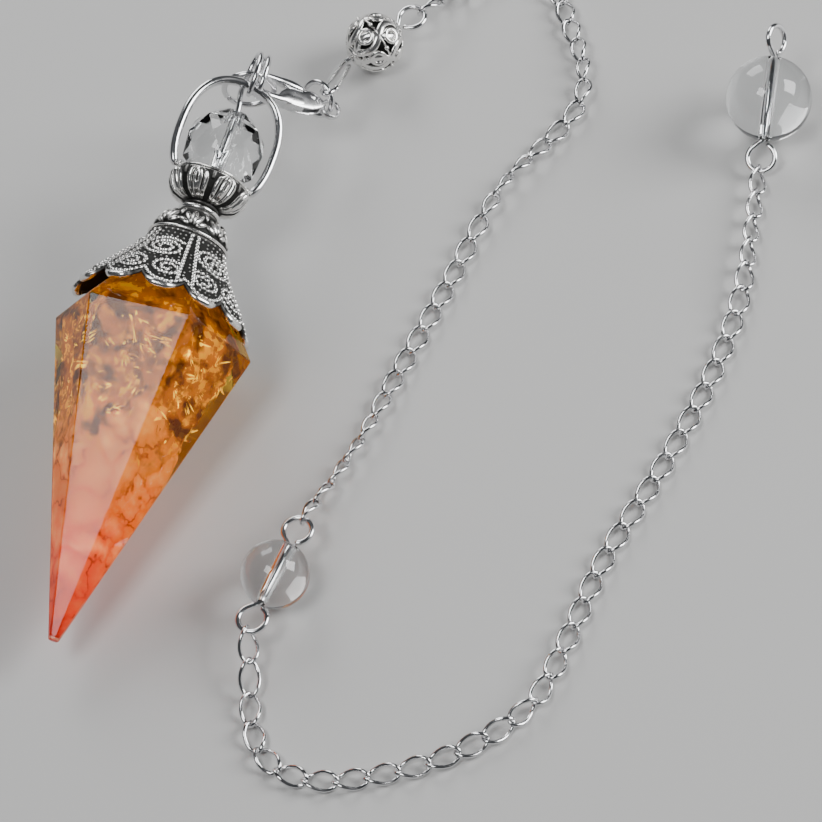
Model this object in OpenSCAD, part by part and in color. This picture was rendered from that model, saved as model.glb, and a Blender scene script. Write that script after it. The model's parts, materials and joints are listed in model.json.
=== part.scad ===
/* [Stone] */
// Width of the stone across the corners of its shoulder
stone_w = 24; // [20:0.5:28]
// Length from the shoulder down to the tip
point_len = 38; // [28:1:46]
// Width of the small flat on the tip
tip_w = 1.3; // [0.6:0.1:2.4]
// Height of the sloping crown between the shoulder and the cap
crown_h = 4.3; // [3.6:0.1:5]
// Width across the corners at the top of the crown
crown_w = 17.6; // [16.4:0.2:19]
// Turn of the stone's corners about its own length
stone_turn = 7; // [0:1:59]

/* [Cap] */
// Height of the lace bell, from its scalloped rim to the collar
bell_h = 9.8; // [8:0.5:13]
// Wall of the bell
bell_wall = 0.55; // [0.5:0.05:0.9]
// Width of the bell at the collar
collar_w = 9.2; // [8.5:0.1:10.5]
// Height of the leafy dome above the collar
dome_h = 3.7; // [3:0.1:4.5]
// Scallops round the rim
scallops = 12; // [8:1:14]
// Thickness of the raised ropes and rosettes
rope_d = 0.5; // [0.36:0.02:0.6]
// Lean of the glued cap against the stone
cap_lean = 2.4; // [0:0.2:4]

/* [Cup] */
// Widest width of the lotus cup under its petals
cup_w = 9.5; // [8.8:0.1:10.6]
// Height of the lotus cup
cup_h = 3.6; // [3.2:0.1:4.4]
// Width of the neck between dome and cup
neck_w = 3.8; // [3.2:0.1:4.6]
// Petals round the cup
petals = 8; // [6:1:10]
// How far the petals and leaves stand out
petal_t = 0.3; // [0.2:0.05:0.45]

/* [Hoop and faceted bead] */
// Width of the hoop to the middle of its wire
hoop_w = 11.8; // [11.6:0.1:13]
// Room between the faceted bead and the top of the hoop
hoop_room = 3.5; // [2.6:0.1:4.4]
// Thickness of the hoop's wire, seen from the front
hoop_t = 0.9; // [0.7:0.05:1.1]
// Depth of the hoop's wire, from front to back
hoop_d = 1.15; // [0.8:0.05:1.4]
// Turn of the hoop about the pendant's length
hoop_turn = 29; // [0:1:60]
// Width of the faceted bead across its corners
facet_bead_w = 10; // [9:0.1:10.6]
// Sides of the faceted bead
facet_sides = 8; // [6:1:10]
// Length of the coil in which the bead's pin ends, along the pendant
coil_long = 5.2; // [4.6:0.1:5.6]
// Width of that coil
coil_wide = 3.6; // [3.4:0.1:4]

/* [Clasp] */
// Width to the middle of its wire of the ring that hangs in the coil
clasp_ring_w = 6; // [5.8:0.1:6.6]
// Outer width of the clasp's claw
claw_w = 3.9; // [3.7:0.1:4.4]
// Width of the claw's arm, seen from its face
claw_arm = 0.9; // [0.8:0.05:1]
// Thickness of the clasp
clasp_t = 1.8; // [1.6:0.1:2]
// Distance from the claw's middle to the middle of the end eye
clasp_reach = 8; // [7.6:0.1:9]
// Hole in the clasp's end eye
clasp_eye_d = 1.8; // [1.7:0.1:2]
// Diameter of the lever's rivet
rivet_d = 0.6; // [0.5:0.05:0.7]

/* [Round beads] */
// Diameter of the middle bead
middle_bead_d = 7.9; // [6:0.1:10]
// Diameter of the bead at the free end
end_bead_d = 10.3; // [8:0.1:12]
// Diameter of the pierced filigree bead
filigree_bead_d = 7.4; // [6:0.1:9]
// Wall of the filigree bead
filigree_wall = 0.5; // [0.4:0.05:0.7]
// Hole drilled through each bead
bead_bore = 1.1; // [0.9:0.05:1.4]

/* [Eye pins] */
// Wire of the eye pins
pin_d = 0.7; // [0.5:0.05:0.8]
// Width of each eye to the middle of its wire
eye_w = 3.3; // [2.8:0.1:4]
// Wire of the jump ring on the clasp
ring_d = 0.7; // [0.5:0.05:0.8]
// Width of the jump ring to the middle of its wire
ring_w = 4.2; // [3.4:0.1:4.6]

/* [Chain] */
// Distance from one link to the next
link_pitch = 3.42; // [3.2:0.02:4]
// Wire of the links
link_wire = 0.48; // [0.4:0.02:0.52]
// Play between a link and the next
link_play = 0.24; // [0.2:0.02:0.32]
// Outer width of a link
link_w = 2.9; // [2.7:0.05:3.4]
// Twist of each half link, which lets the chain lie flat
link_twist = 45; // [40:1:50]

/* [How it lies] */
// Tilt of the pendant's length, its tip the lower end
lie_tilt = 8.3; // [4:0.1:11]
// Tilt of the end bead's pin, its free eye the higher end
end_pin_tilt = 26; // [0:1:35]

/* [Hidden] */
$fn = 48;

// Gap left between pieces that only rest on or hang in each other
gap = 0.1;
// Running gap of the lever on its rivet, and of its flat sides
rivet_gap = 0.03;
side_gap = 0.08;

// Where the pendant and the beads lie, seen from above
shoulder_at = [-29, -3];
filigree_at = [-19.2, 49];
middle_at = [-7.4, -26.3];
end_at = [31.4, 48.4];
// Headings of the pins through the beads, from +X
filigree_heading = 53;
middle_heading = 83;
end_heading = 94;
// The middle of the whole footprint, which is the origin
footprint_at = [-2.19, 8.52];

// The chain's two routes over the surface, chosen by hand
upper_route = [[-13.9, 56.6], [-11.6, 60.6], [-8.2, 64.4], [-3.8, 65.8], [0.2, 63.4], [3, 58.6],
               [6.4, 53], [8, 47], [5.7, 40.5], [2.6, 34.5], [1, 28], [-0.6, 17], [-2.4, 6], [-4, -5],
               [-5.8, -12.5]];
tail_route = [[-7, -37.5], [-5.6, -42.5], [-2.2, -47.4], [4, -48.6], [12, -45.7], [19.5, -41],
              [25, -34.5], [26.5, -26], [27.7, -15], [31, -2], [33.4, 10.5], [34.2, 22],
              [33.2, 31.5]];
// How far the links are rolled about the chain: percent of the route, degrees
upper_roll = [[0, -45], [13, 0], [22, 0], [32, 60], [41, 0], [42, 0], [51, 60], [60, 0], [78, 0],
              [88, 60], [100, 45]];
tail_roll = [[0, -45], [7, 0], [29, 0], [38, 60], [47, 0], [82, 0], [91, 60], [100, 45]];

// Stone
stone_r = stone_w / 2;
crown_r = crown_w / 2;
plug_h = crown_h + 2.2;

// Bell and collar: heights along the pendant are measured from the stone's shoulder
rim_s = 0.66 * crown_h;
rim_drop = stone_r * sin(cap_lean);
rim_clear_r = stone_r - (stone_r - crown_r) * (rim_s - rim_drop) / crown_h + gap;
rim_r = rim_clear_r + bell_wall;
collar_s = rim_s + bell_h;
collar_r = collar_w / 2;
// The bell's outline: share of its height, share of its spread
bell_line = [[0, 1], [0.16, 0.86], [0.31, 0.68], [0.48, 0.47], [0.635, 0.29], [0.76, 0.16],
             [0.88, 0.06], [1, 0]];
// The cup's outline: share of its height, share of its half width
cup_line = [[0, 0.4], [0.07, 0.6], [0.15, 0.76], [0.32, 0.88], [0.52, 0.96], [0.7, 1], [0.88, 0.97],
            [1, 0.9]];
neck_r = neck_w / 2;
neck_s = collar_s + dome_h;
neck_h = 1.3;
cup_s = neck_s + neck_h;
cup_r = cup_w / 2;
cup_top = cup_s + cup_h;
rim_wire = 0.32;

// Faceted bead, seated in the cup, and its hoop
facet_r = facet_bead_w / 2;
facet_s = cup_top + 0.87 * facet_r;
hoop_r = hoop_w / 2;
hoop_top = facet_s + facet_r + hoop_room + hoop_t / 2;
hoop_s = cup_top + 0.41 * (hoop_top - cup_top);
// Roundness of the hoop: 1 is an ellipse, less is squarer
hoop_round = 0.83;
hoop_end = 33;
ear_out = 0.9 * cup_r - 0.1 + rim_wire;
leg_x = ear_out + gap + hoop_t / 2;
peg_s = cup_top + 0.4;
ear_r = 0.65;
peg_r = 0.28;

// The coil that the pin makes round the hoop's top wire, and round the ring that hangs in it
coil_a = coil_long / 2;
coil_b = coil_wide / 2;
coil_s = hoop_top + coil_a - hoop_t / 2 - pin_d / 2 - gap;
coil_pitch = 1;
coil_turns = 1.85;

// How the pendant lies: its shoulder's lowest corner on the surface
lowest_corner = max([for (k = [0:5]) sin(stone_turn + 60 * k)]);
shoulder_z = stone_r * lowest_corner * cos(lie_tilt);
shoulder_p = [shoulder_at.x, shoulder_at.y, shoulder_z];

level = [0, 0, 1];

// Ring that hangs upright in the coil, at this angle round the ring, and carries the clasp
clasp_ring_r = clasp_ring_w / 2;
ring_in_coil = coil_b - pin_d / 2 - ring_d / 2 - 2.5 * gap;
coil_p = seat([0.5 * coil_pitch, ring_in_coil, coil_s + 0.4]);
coil_angle = 64;
ring_heading = 18;
hang_x = heading(ring_heading, 0);
hang_p = coil_p - clasp_ring_r * (cos(coil_angle) * hang_x + sin(coil_angle) * level);

// Clasp: its claw holds the ring's lower right and it points down to the filigree bead
claw_r = claw_w / 2;
claw_in = claw_r - claw_arm;
mouth = 1.3;
hook_angle = -22;
hook_p = hang_p + clasp_ring_r * (cos(hook_angle) * hang_x + sin(hook_angle) * level);
clasp_x = unit([0.79, 0.19, -0.585]);
clasp_y = unit(square_to([-0.19, 0.976, -0.03], clasp_x));
clasp_z = cross(clasp_x, clasp_y);
claw_p = hook_p - 0.4 * clasp_x + 0.5 * clasp_y;
clasp_eye_p = claw_p + clasp_reach * clasp_x;
clasp_eye_r = clasp_eye_d / 2;
eye_t = 0.45 * clasp_t;
pivot_at = [0.66 * clasp_reach, 0.3];
knuckle_r = 0.85;
lever_t = 0.46 * clasp_t;
lever_r = pivot_at.x + mouth / 2 + 0.48 * claw_r;

// Jump ring in the clasp's eye, pulled by the filigree pin's eye
ring_r = ring_w / 2;
ring_x = unit([-0.84, 0.48, 0.24]);
ring_y = unit(square_to([0.55, 0.3, 0.77], ring_x));
ring_p = clasp_eye_p + ring_r * ring_x;

// Beads and their pins
eye_r = eye_w / 2;
pin_r = pin_d / 2;
filigree_r = filigree_bead_d / 2;
middle_r = middle_bead_d / 2;
end_r = end_bead_d / 2;
filigree_p = [filigree_at.x, filigree_at.y, filigree_r + 0.2];
middle_p = [middle_at.x, middle_at.y, middle_r];
end_p = [end_at.x, end_at.y, end_r];
filigree_x = heading(filigree_heading, 0);
middle_x = heading(middle_heading, 0);
end_x = heading(end_heading, end_pin_tilt);
// Where the filigree pin's long eye pulls the jump ring
stem_p = filigree_p - (filigree_r + 0.6) * filigree_x;
pull_angle = 112;
pull_dir = cos(pull_angle) * ring_x + sin(pull_angle) * ring_y;
pull_p = ring_p + ring_r * pull_dir;
pull_open = pull_dir - 0.5 * cross(pull_dir, cross(ring_x, ring_y));
pull_past = ring_d / 2 + pin_d / 2 + 1.5 * gap;

// Links: each reaches past its two joints by half a wire and half the gap
link_r = link_wire / 2;
link_b = link_w / 2 - link_r;
link_past = link_r + link_play / 2;
link_rings = 12;
link_sides = 5;
eye_hold = eye_r - (pin_r + link_r + gap - link_past);
// Length over which the chain comes down from an eye to the surface
drop_len = 7.5;

// Vectors and curves

function unit(v) = v / norm(v);
function square_to(v, axis) = v - (v * axis) * axis;
function heading(turn, tilt) = [cos(tilt) * cos(turn), cos(tilt) * sin(turn), sin(tilt)];
// A point of the hoop's own upright axes, where the laid pendant takes it
function turned(p, a) = [p.x * cos(a) - p.y * sin(a), p.x * sin(a) + p.y * cos(a), p.z];
function leaned(p) =
    let (h = p.z - rim_s)
    [p.x * cos(cap_lean) + h * sin(cap_lean), p.y, rim_s - p.x * sin(cap_lean) + h * cos(cap_lean)];
function lie(p) =
    [p.x, p.y * sin(lie_tilt) + p.z * cos(lie_tilt), p.z * sin(lie_tilt) - p.y * cos(lie_tilt)];
function seat(p) = shoulder_p + lie(leaned(turned(p, hoop_turn)));

// A smooth curve through points, as short straight steps
function bend(a, b, c, d, t) =
    0.5 * (2 * b + (c - a) * t + (2 * a - 5 * b + 4 * c - d) * t * t
           + (3 * b - a - 3 * c + d) * t * t * t);
function smooth(p, steps) =
    let (last = len(p) - 1)
    concat([for (i = [0:last - 1], k = [0:steps - 1])
                bend(p[max(i - 1, 0)], p[i], p[i + 1], p[min(i + 2, last)], k / steps)],
           [p[last]]);

// Running length of a line of points, and the point at a length along it
function run(p, i = 0, so_far = 0) =
    i == len(p) - 1 ? [so_far] : concat([so_far], run(p, i + 1, so_far + norm(p[i + 1] - p[i])));
function step_at(lengths, at, i = 0) =
    i >= len(lengths) - 2 || lengths[i + 1] >= at ? i : step_at(lengths, at, i + 1);
function point_at(p, lengths, at) =
    let (i = step_at(lengths, at), f = (at - lengths[i]) / (lengths[i + 1] - lengths[i]))
    p[i] + f * (p[i + 1] - p[i]);

// Swept wires

function directions(p) =
    [for (i = [0:len(p) - 1]) unit(p[min(i + 1, len(p) - 1)] - p[max(i - 1, 0)])];
function carried(t, n, i = 0) =
    i == len(t) - 1 ? [n] : concat([n], carried(t, unit(square_to(n, t[i + 1])), i + 1));

// One wire through a path of points: half its width along side, half its depth square to that
module wire(path, half_w, half_d, side, sides) {
    t = directions(path);
    n = carried(t, unit(square_to(side, t[0])));
    last = len(path) - 1;
    points = [for (i = [0:last], k = [0:sides - 1])
                  let (a = 360 * (k + 0.5) / sides)
                  path[i] + half_w * cos(a) * n[i] + half_d * sin(a) * cross(t[i], n[i])];
    skin = [for (i = [0:last - 1], k = [0:sides - 1])
                [i * sides + k, i * sides + (k + 1) % sides, (i + 1) * sides + (k + 1) % sides,
                 (i + 1) * sides + k]];
    ends = [[for (k = [sides - 1:-1:0]) k], [for (k = [0:sides - 1]) last * sides + k]];
    polyhedron(points = points, faces = [for (f = concat(skin, ends)) [for (k = [len(f) - 1:-1:0]) f[k]]]);
}

// Half an eye pin: out along x from the bead's middle, then round an eye in the plane of x and y
function eye_path(start, x, y, reach) =
    let (c = reach + eye_r, steps = 13, first = 130, sweep = 288)
    concat([start + (reach - 0.35 * eye_r) * x],
           [for (i = [0:steps])
                let (a = first - i * sweep / steps)
                start + (c + eye_r * cos(a)) * x + eye_r * sin(a) * y]);
function backwards(p) = [for (i = [len(p) - 1:-1:0]) p[i]];

// Chain

// One twisted link between two joints, rolled about the line between them
module link(from, to, roll) {
    x = unit(to - from);
    y0 = unit(cross(level, x));
    z0 = cross(x, y0);
    y = cos(roll) * y0 + sin(roll) * z0;
    z = cross(x, y);
    a = norm(to - from) / 2 + link_past;
    mid = (from + to) / 2;
    line = [for (i = [0:link_rings - 1])
                let (q = 360 * (i + 0.5) / link_rings, tw = link_twist * cos(q))
                mid + a * cos(q) * x + link_b * sin(q) * (cos(tw) * y + sin(tw) * z)];
    t = [for (i = [0:link_rings - 1])
             unit(line[(i + 1) % link_rings] - line[(i + link_rings - 1) % link_rings])];
    points = [for (i = [0:link_rings - 1], k = [0:link_sides - 1])
                  let (n = unit(cross(z, t[i])), q = 360 * k / link_sides)
                  line[i] + link_r * (cos(q) * n + sin(q) * cross(t[i], n))];
    faces = [for (i = [0:link_rings - 1], k = [0:link_sides - 1])
                 let (j = (i + 1) % link_rings * link_sides, m = (k + 1) % link_sides)
                 each [[i * link_sides + k, j + k, j + m], [i * link_sides + k, j + m, i * link_sides + m]]];
    polyhedron(points = points, faces = faces);
}

// Height that a link's middle needs above the surface when it is rolled
function rolled_h(roll) =
    link_r + 0.02 + link_b * max([for (q = [0:15:345])
        let (tw = link_twist * cos(q)) abs(sin(q) * sin(tw + roll))]);

// A chain from one eye to another along a route, each link's ends on the joints that it shares
module chain(from, route, to, roll) {
    flat = smooth(concat([[from.x, from.y]], route, [[to.x, to.y]]), 6);
    lengths = run(flat);
    whole = lengths[len(lengths) - 1];
    links = round(whole / link_pitch);
    share = [for (k = [0:links]) whole * k / links];
    rolls = [for (k = [0:links - 1]) lookup(100 * (k + 0.5) / links, roll)];
    rest = [for (k = [0:links])
                max(rolled_h(rolls[max(k - 1, 0)]), rolled_h(rolls[min(k, links - 1)]))];
    lift = [for (k = [0:links])
                let (down_from = max(0, 1 - share[k] / drop_len),
                     down_to = max(0, 1 - (whole - share[k]) / drop_len))
                rest[k] + (from.z - rest[0]) * down_from * down_from * (3 - 2 * down_from)
                + (to.z - rest[links]) * down_to * down_to * (3 - 2 * down_to)];
    joints = [for (k = [0:links]) let (p = point_at(flat, lengths, share[k])) [p.x, p.y, lift[k]]];
    for (k = [0:links - 1])
        link(joints[k], joints[k + 1], rolls[k]);
}

// The pendant's parts are drawn upright on its length, tip down, then laid on the surface
module laid() {
    translate(shoulder_p)
        rotate([lie_tilt - 90, 0, 0])
            children();
}

// The cap and all above it lean a little against the stone
module seated() {
    laid()
        translate([0, 0, rim_s])
            rotate([0, cap_lean, 0])
                translate([0, 0, -rim_s])
                    children();
}

// Lays a piece drawn in its own axes at a point: its X and Y go along x and y
module placed(p, x, y) {
    z = cross(x, y);
    multmatrix([[x.x, y.x, z.x, p.x], [x.y, y.y, z.y, p.y], [x.z, y.z, z.z, p.z], [0, 0, 0, 1]])
        children();
}

// Stone: a six-sided point with a small flat on its tip and a plug that the cap hides

module stone() {
    rings = [[-point_len, tip_w / 2], [0, stone_r], [crown_h, crown_r], [plug_h, 0.76 * crown_r]];
    top = len(rings) - 1;
    points = [for (ring = rings, k = [0:5])
                  let (a = stone_turn + 60 * k)
                  [ring[1] * cos(a), ring[1] * sin(a), ring[0]]];
    sides = [for (i = [0:top - 1], k = [0:5])
                 let (m = (k + 1) % 6)
                 [i * 6 + k, (i + 1) * 6 + k, (i + 1) * 6 + m, i * 6 + m]];
    ends = [[for (k = [0:5]) k], [for (k = [5:-1:0]) top * 6 + k]];
    color("darkorange")
        laid()
            polyhedron(points = points, faces = concat(sides, ends));
}

// Cap: lace bell, collar, leafy dome, neck and lotus cup in one casting

function bell_r(s) = collar_r + (rim_r - collar_r) * lookup((s - rim_s) / bell_h, bell_line);
function bell_lean(s) = atan2(bell_r(s - 0.3) - bell_r(s + 0.3), 0.6);
function bell_outline(inset, upto) =
    [for (row = bell_line)
         if (row[0] <= upto)
             [collar_r + (rim_r - collar_r) * row[1] - inset, rim_s + bell_h * row[0]]];
function dome_outline(out) =
    [for (a = [0:12:84])
         [neck_r + (collar_r - 0.15 - neck_r) * pow(cos(a), 1.25) + out, collar_s + dome_h * sin(a)]];
function cup_outline(out) = [for (row = cup_line) [cup_r * row[1] + out, cup_s + cup_h * row[0]]];

module cap_core() {
    rotate_extrude() {
        difference() {
            polygon(concat([[0, rim_s]], bell_outline(0, 1), dome_outline(0),
                           [[neck_r, neck_s + 0.1]], cup_outline(0), [[0, cup_top]]));
            polygon(concat([[0, rim_s - 1], [rim_clear_r + 0.4, rim_s - 1]],
                           bell_outline(bell_wall, 0.77), [[0, rim_s + 0.77 * bell_h]]));
        }
        translate([collar_r - 0.1, collar_s])
            circle(rim_wire);
        translate([neck_r + 0.15, neck_s + 0.35])
            circle(0.42);
        translate([ear_out - rim_wire, cup_top - 0.05])
            circle(rim_wire);
    }
}

// Plan outline of the scalloped rim: the bell flares, so it is cut higher between the scallops
module scallop_plan() {
    lobe_r = rim_r * sin(scallop_step / 2) * 1.28;
    circle(rim_r - 0.8);
    for (k = [0:scallops - 1])
        rotate(scallop_turn + k * scallop_step)
            translate([rim_r + 0.05 - lobe_r, 0])
                circle(lobe_r);
}

// Puts a piece on the bell's surface, +X down the slope and +Z straight out of it
module on_bell(s, angle) {
    rotate([0, 0, angle])
        translate([bell_r(s), 0, s])
            rotate([0, 90 - bell_lean(s), 0])
                children();
}

module ring_of(r, wire_r, from = 0, sweep = 360) {
    rotate([0, 0, from])
        rotate_extrude(angle = sweep)
            translate([r, 0])
                circle(wire_r);
}

scallop_step = 360 / scallops;
scallop_turn = 15;
scallop_r = 0.26 * bell_h;
scallop_s = rim_s + 0.27 * bell_h;
rope_r = rope_d / 2;

// Raised ropes: a spiral on each scallop, rosettes and ribs above them
module bell_relief() {
    for (k = [0:scallops - 1])
        on_bell(scallop_s, scallop_turn + k * scallop_step) {
            ring_of(scallop_r * 0.72, rope_r);
            sphere(scallop_r * 0.3);
        }
    rosettes = scallops / 2;
    rosette_s = rim_s + 0.66 * bell_h;
    rosette_r = 0.36 * 2 * PI * bell_r(rosette_s) / rosettes;
    for (k = [0:rosettes - 1])
        on_bell(rosette_s, scallop_turn + (k + 0.25) * 2 * scallop_step) {
            ring_of(rosette_r, rope_r);
            sphere(rosette_r * 0.4);
        }
}

// Petals of the cup: round ribs that follow its bulge from the neck up to the rim
module cup_petals() {
    bulge_r = 0.78 * cup_h;
    petal_r = 0.4 * cup_h;
    for (k = [0:petals - 1])
        rotate([0, 0, 1 + k * 360 / petals])
            translate([cup_r - bulge_r, 0, cup_s + 0.7 * cup_h])
                rotate([90, 0, 0])
                    rotate_extrude(angle = 78, start = -66)
                        translate([bulge_r + petal_t - petal_r, 0])
                            circle(petal_r);
}

// Two ears on the cup's rim, which the hoop's ends go through
module hoop_ears() {
    for (side = [-1, 1])
        rotate([0, 0, hoop_turn])
            translate([side * (ear_out - ear_r), 0, peg_s])
                rotate([0, side * 90, 0])
                    cylinder(r = ear_r, h = ear_r);
}

// Leaves of the dome: small round bulges on a turned surface
module bulges(r, s, out, bulge_r, count, turn) {
    for (k = [0:count - 1])
        rotate([0, 0, turn + k * 360 / count])
            translate([r + out - bulge_r, 0, s])
                sphere(bulge_r);
}

module filigree_cap() {
    leaf_s = collar_s + 0.42 * dome_h;
    color("dimgray")
        seated()
            difference() {
                union() {
                    intersection() {
                        cap_core();
                        union() {
                            translate([0, 0, rim_s - 1])
                                linear_extrude(bell_h)
                                    scallop_plan();
                            translate([0, 0, collar_s - 3])
                                cylinder(r = rim_r, h = cup_top);
                        }
                    }
                    bell_relief();
                    cup_petals();
                    hoop_ears();
                    bulges(neck_r + 0.8 * (collar_r - neck_r), leaf_s, petal_t * 0.7, 1.1, petals, 12);
                }
                // Seat of the faceted bead, hole for its pin and holes for the hoop's ends
                translate([0, 0, facet_s])
                    sphere(facet_r + gap);
                translate([0, 0, collar_s + 1])
                    cylinder(d = pin_d + 2 * gap, h = cup_top);
                rotate([0, 0, hoop_turn])
                    translate([0, 0, peg_s])
                        rotate([0, 90, 0])
                            cylinder(r = peg_r + gap / 2, h = 3 * cup_r, center = true);
            }
}

// Hoop: flattened wire bent to a ring, its ends turned in through the cup's rim

module hoop() {
    high = hoop_top - hoop_s;
    steps = 26;
    sweep = 180 + 2 * hoop_end;
    arc = [for (i = [0:steps])
               let (a = -hoop_end + i * sweep / steps)
               [hoop_r * sign(cos(a)) * pow(abs(cos(a)), hoop_round),
                hoop_s + high * sign(sin(a)) * pow(abs(sin(a)), hoop_round)]];
    foot = [leg_x, peg_s + 0.18];
    peg = [leg_x - 0.35, peg_s];
    flat = concat([peg, foot], arc, [[-foot.x, foot.y], [-peg.x, peg.y]]);
    color("silver")
        seated()
            rotate([0, 0, hoop_turn]) {
                wire([for (p = flat) [p.x, 0, p.y]], hoop_d / 2, hoop_t / 2, [0, 1, 0], 8);
                for (side = [-1, 1])
                    translate([side * (ear_out - 0.55), 0, peg_s])
                        rotate([0, side * 90, 0])
                            cylinder(r = peg_r, h = peg.x - ear_out + 0.6);
            }
}

// Faceted bead: flats round it in three rows, a table at each end, drilled along its length

module faceted_bead() {
    rows = [[-0.9, 0.436], [-0.5, 0.866], [0, 1], [0.5, 0.866], [0.9, 0.436]];
    last = len(rows) - 1;
    points = [for (i = [0:last], k = [0:facet_sides - 1])
                  let (a = (k + (i % 2) / 2) * 360 / facet_sides)
                  facet_r * [rows[i][1] * cos(a), rows[i][1] * sin(a), rows[i][0]]];
    faces = [for (i = [0:last - 1], k = [0:facet_sides - 1])
                 let (m = (k + 1) % facet_sides, low = i * facet_sides, high = (i + 1) * facet_sides,
                      even = i % 2 == 0)
                 each [[low + k, high + k, even ? low + m : high + m],
                       [even ? high + k : low + k, high + m, low + m]]];
    ends = [[for (k = [0:facet_sides - 1]) k],
            [for (k = [facet_sides - 1:-1:0]) last * facet_sides + k]];
    color("lightgray", 0.6)
        seated()
            translate([0, 0, facet_s])
                difference() {
                    polyhedron(points = points, faces = concat(faces, ends));
                    cylinder(d = bead_bore, h = 3 * facet_r, center = true);
                }
}

// Pin of the faceted bead: up from the neck, then wound into a coil round the top of the hoop
module bead_pin() {
    first = -70;
    steps = 30;
    coil = [for (i = [0:steps])
                let (turn = coil_turns * i / steps, a = first + 360 * turn)
                [coil_pitch * (turn - 0.44), coil_b * cos(a), coil_s + coil_a * sin(a)]];
    stem = [[0, 0, collar_s + 1.4], [0, 0, facet_s + facet_r],
            [coil[0].x * 0.8, coil[0].y * 0.3, hoop_top - 1.9]];
    color("silver")
        seated()
            rotate([0, 0, hoop_turn])
                wire(concat(stem, coil), pin_r, pin_r, [1, 0, 0], 6);
}

// Clasp, drawn flat: the claw's middle at the origin, the end eye along +X, the gate towards +Y

// The claw's mouth: a slot with round ends
module mouth_slot(r) {
    for (side = [-1, 1])
        translate([side * mouth / 2, 0])
            circle(r);
    square([mouth, 2 * r], center = true);
}

module clasp_body() {
    eye_out = clasp_eye_r + 0.5;
    shank = pivot_at.x + knuckle_r;
    color("silver")
        placed(claw_p, clasp_x, clasp_y) {
            difference() {
                union() {
                    translate([0, 0, -clasp_t / 2])
                        linear_extrude(clasp_t) {
                            difference() {
                                union() {
                                    mouth_slot(claw_r);
                                    polygon([[0, -claw_r], [0.4 * clasp_reach, -claw_r],
                                             [shank, -0.75 * claw_r], [shank, 0], [mouth, 0]]);
                                }
                                mouth_slot(claw_in);
                                intersection() {
                                    translate(pivot_at)
                                        circle(lever_r + gap);
                                    translate([-2 * claw_r, 0])
                                        square([2 * clasp_reach, 2 * claw_r]);
                                }
                            }
                            translate(pivot_at)
                                circle(knuckle_r);
                        }
                    translate([0, 0, -eye_t / 2])
                        linear_extrude(eye_t) {
                            translate([clasp_reach, 0])
                                circle(eye_out);
                            polygon([[pivot_at.x, -0.75 * claw_r], [clasp_reach, -eye_out],
                                     [clasp_reach, eye_out], [shank + 0.4, 0]]);
                        }
                }
                translate([clasp_reach, 0, -clasp_t])
                    cylinder(r = clasp_eye_r, h = 2 * clasp_t);
                // Slot in which the lever swings
                translate([0, 0, -lever_t / 2 - side_gap])
                    linear_extrude(lever_t + 2 * side_gap) {
                        translate(pivot_at)
                            circle(knuckle_r + 0.12);
                        polygon([[0.5 * clasp_reach, 0.1], [0.5 * clasp_reach, -0.2 * claw_r],
                                 [pivot_at.x, -0.4 * claw_r], [pivot_at.x, 0.1]]);
                    }
            }
            translate([pivot_at.x, pivot_at.y, -clasp_t / 2 - 0.12])
                cylinder(d = rivet_d, h = clasp_t + 0.24);
        }
}

// The lever: a knuckle on the rivet, the bar that closes the mouth, and the thumb tab
module clasp_lever() {
    color("gainsboro")
        placed(claw_p, clasp_x, clasp_y)
            translate([0, 0, -lever_t / 2])
                linear_extrude(lever_t)
                    difference() {
                        union() {
                            intersection() {
                                translate(pivot_at)
                                    circle(lever_r);
                                polygon([[-claw_r, 0.9 * claw_r], [-claw_r, claw_in],
                                         [mouth / 2 + claw_in, 0.9 * claw_in],
                                         [pivot_at.x, pivot_at.y - 0.5],
                                         [pivot_at.x, pivot_at.y + knuckle_r], [mouth / 2, claw_r]]);
                            }
                            translate(pivot_at)
                                circle(knuckle_r);
                            translate(pivot_at + knuckle_r * [-0.35, 0.85])
                                circle(0.6);
                        }
                        translate(pivot_at)
                            circle(rivet_d / 2 + rivet_gap);
                    }
}

// Rings: one hangs in the coil, the other is in the clasp's end eye
module clasp_ring() {
    color("silver")
        placed(hang_p, hang_x, level)
            ring_of(clasp_ring_r, ring_d / 2);
}

module jump_ring() {
    color("silver")
        placed(ring_p, ring_x, ring_y)
            ring_of(ring_r, ring_d / 2);
}

// Filigree bead: a hollow ball, pierced all round, with raised rings on its holes

module filigree_bead() {
    columns = 6;
    // Rows of holes: share of a column, height towards an end in degrees, share of the hole's size
    hole_rows = [[0, 24, 1], [0, 55, 1.1], [0.5, 34, 0.8]];
    hole_r = 0.15 * filigree_r;
    inner = filigree_r - filigree_wall;
    color("gray")
        translate(filigree_p)
            rotate([0, 0, filigree_heading])
                rotate([0, 90, 0])
                    difference() {
                        union() {
                            sphere(filigree_r);
                            for (k = [0:columns - 1], side = [-1, 1])
                                at_ball((k + side / 4) * 360 / columns, side * hole_rows[0][1])
                                    translate([0, 0, filigree_r * cos(18)])
                                        ring_of(hole_r * 1.7, hole_r * 0.45);
                        }
                        sphere(inner);
                        cylinder(d = bead_bore, h = 3 * filigree_r, center = true);
                        for (row = hole_rows, k = [0:columns - 1], side = [-1, 1])
                            at_ball((k + row[0] + side / 4) * 360 / columns, side * row[1])
                                translate([0, 0, 0.8 * inner])
                                    cylinder(r = hole_r * row[2], h = filigree_r);
                        for (k = [0:2 * columns - 1])
                            at_ball((k + 0.5) * 180 / columns, 0)
                                translate([0, 0, 0.8 * inner])
                                    cylinder(r = hole_r * 0.9, h = filigree_r);
                    }
}

// Turns +Z to a place on a ball, by its angle round the bore and its height towards an end
module at_ball(round, up) {
    rotate([0, 0, round])
        rotate([0, 90 - up, 0])
            children();
}

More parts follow.
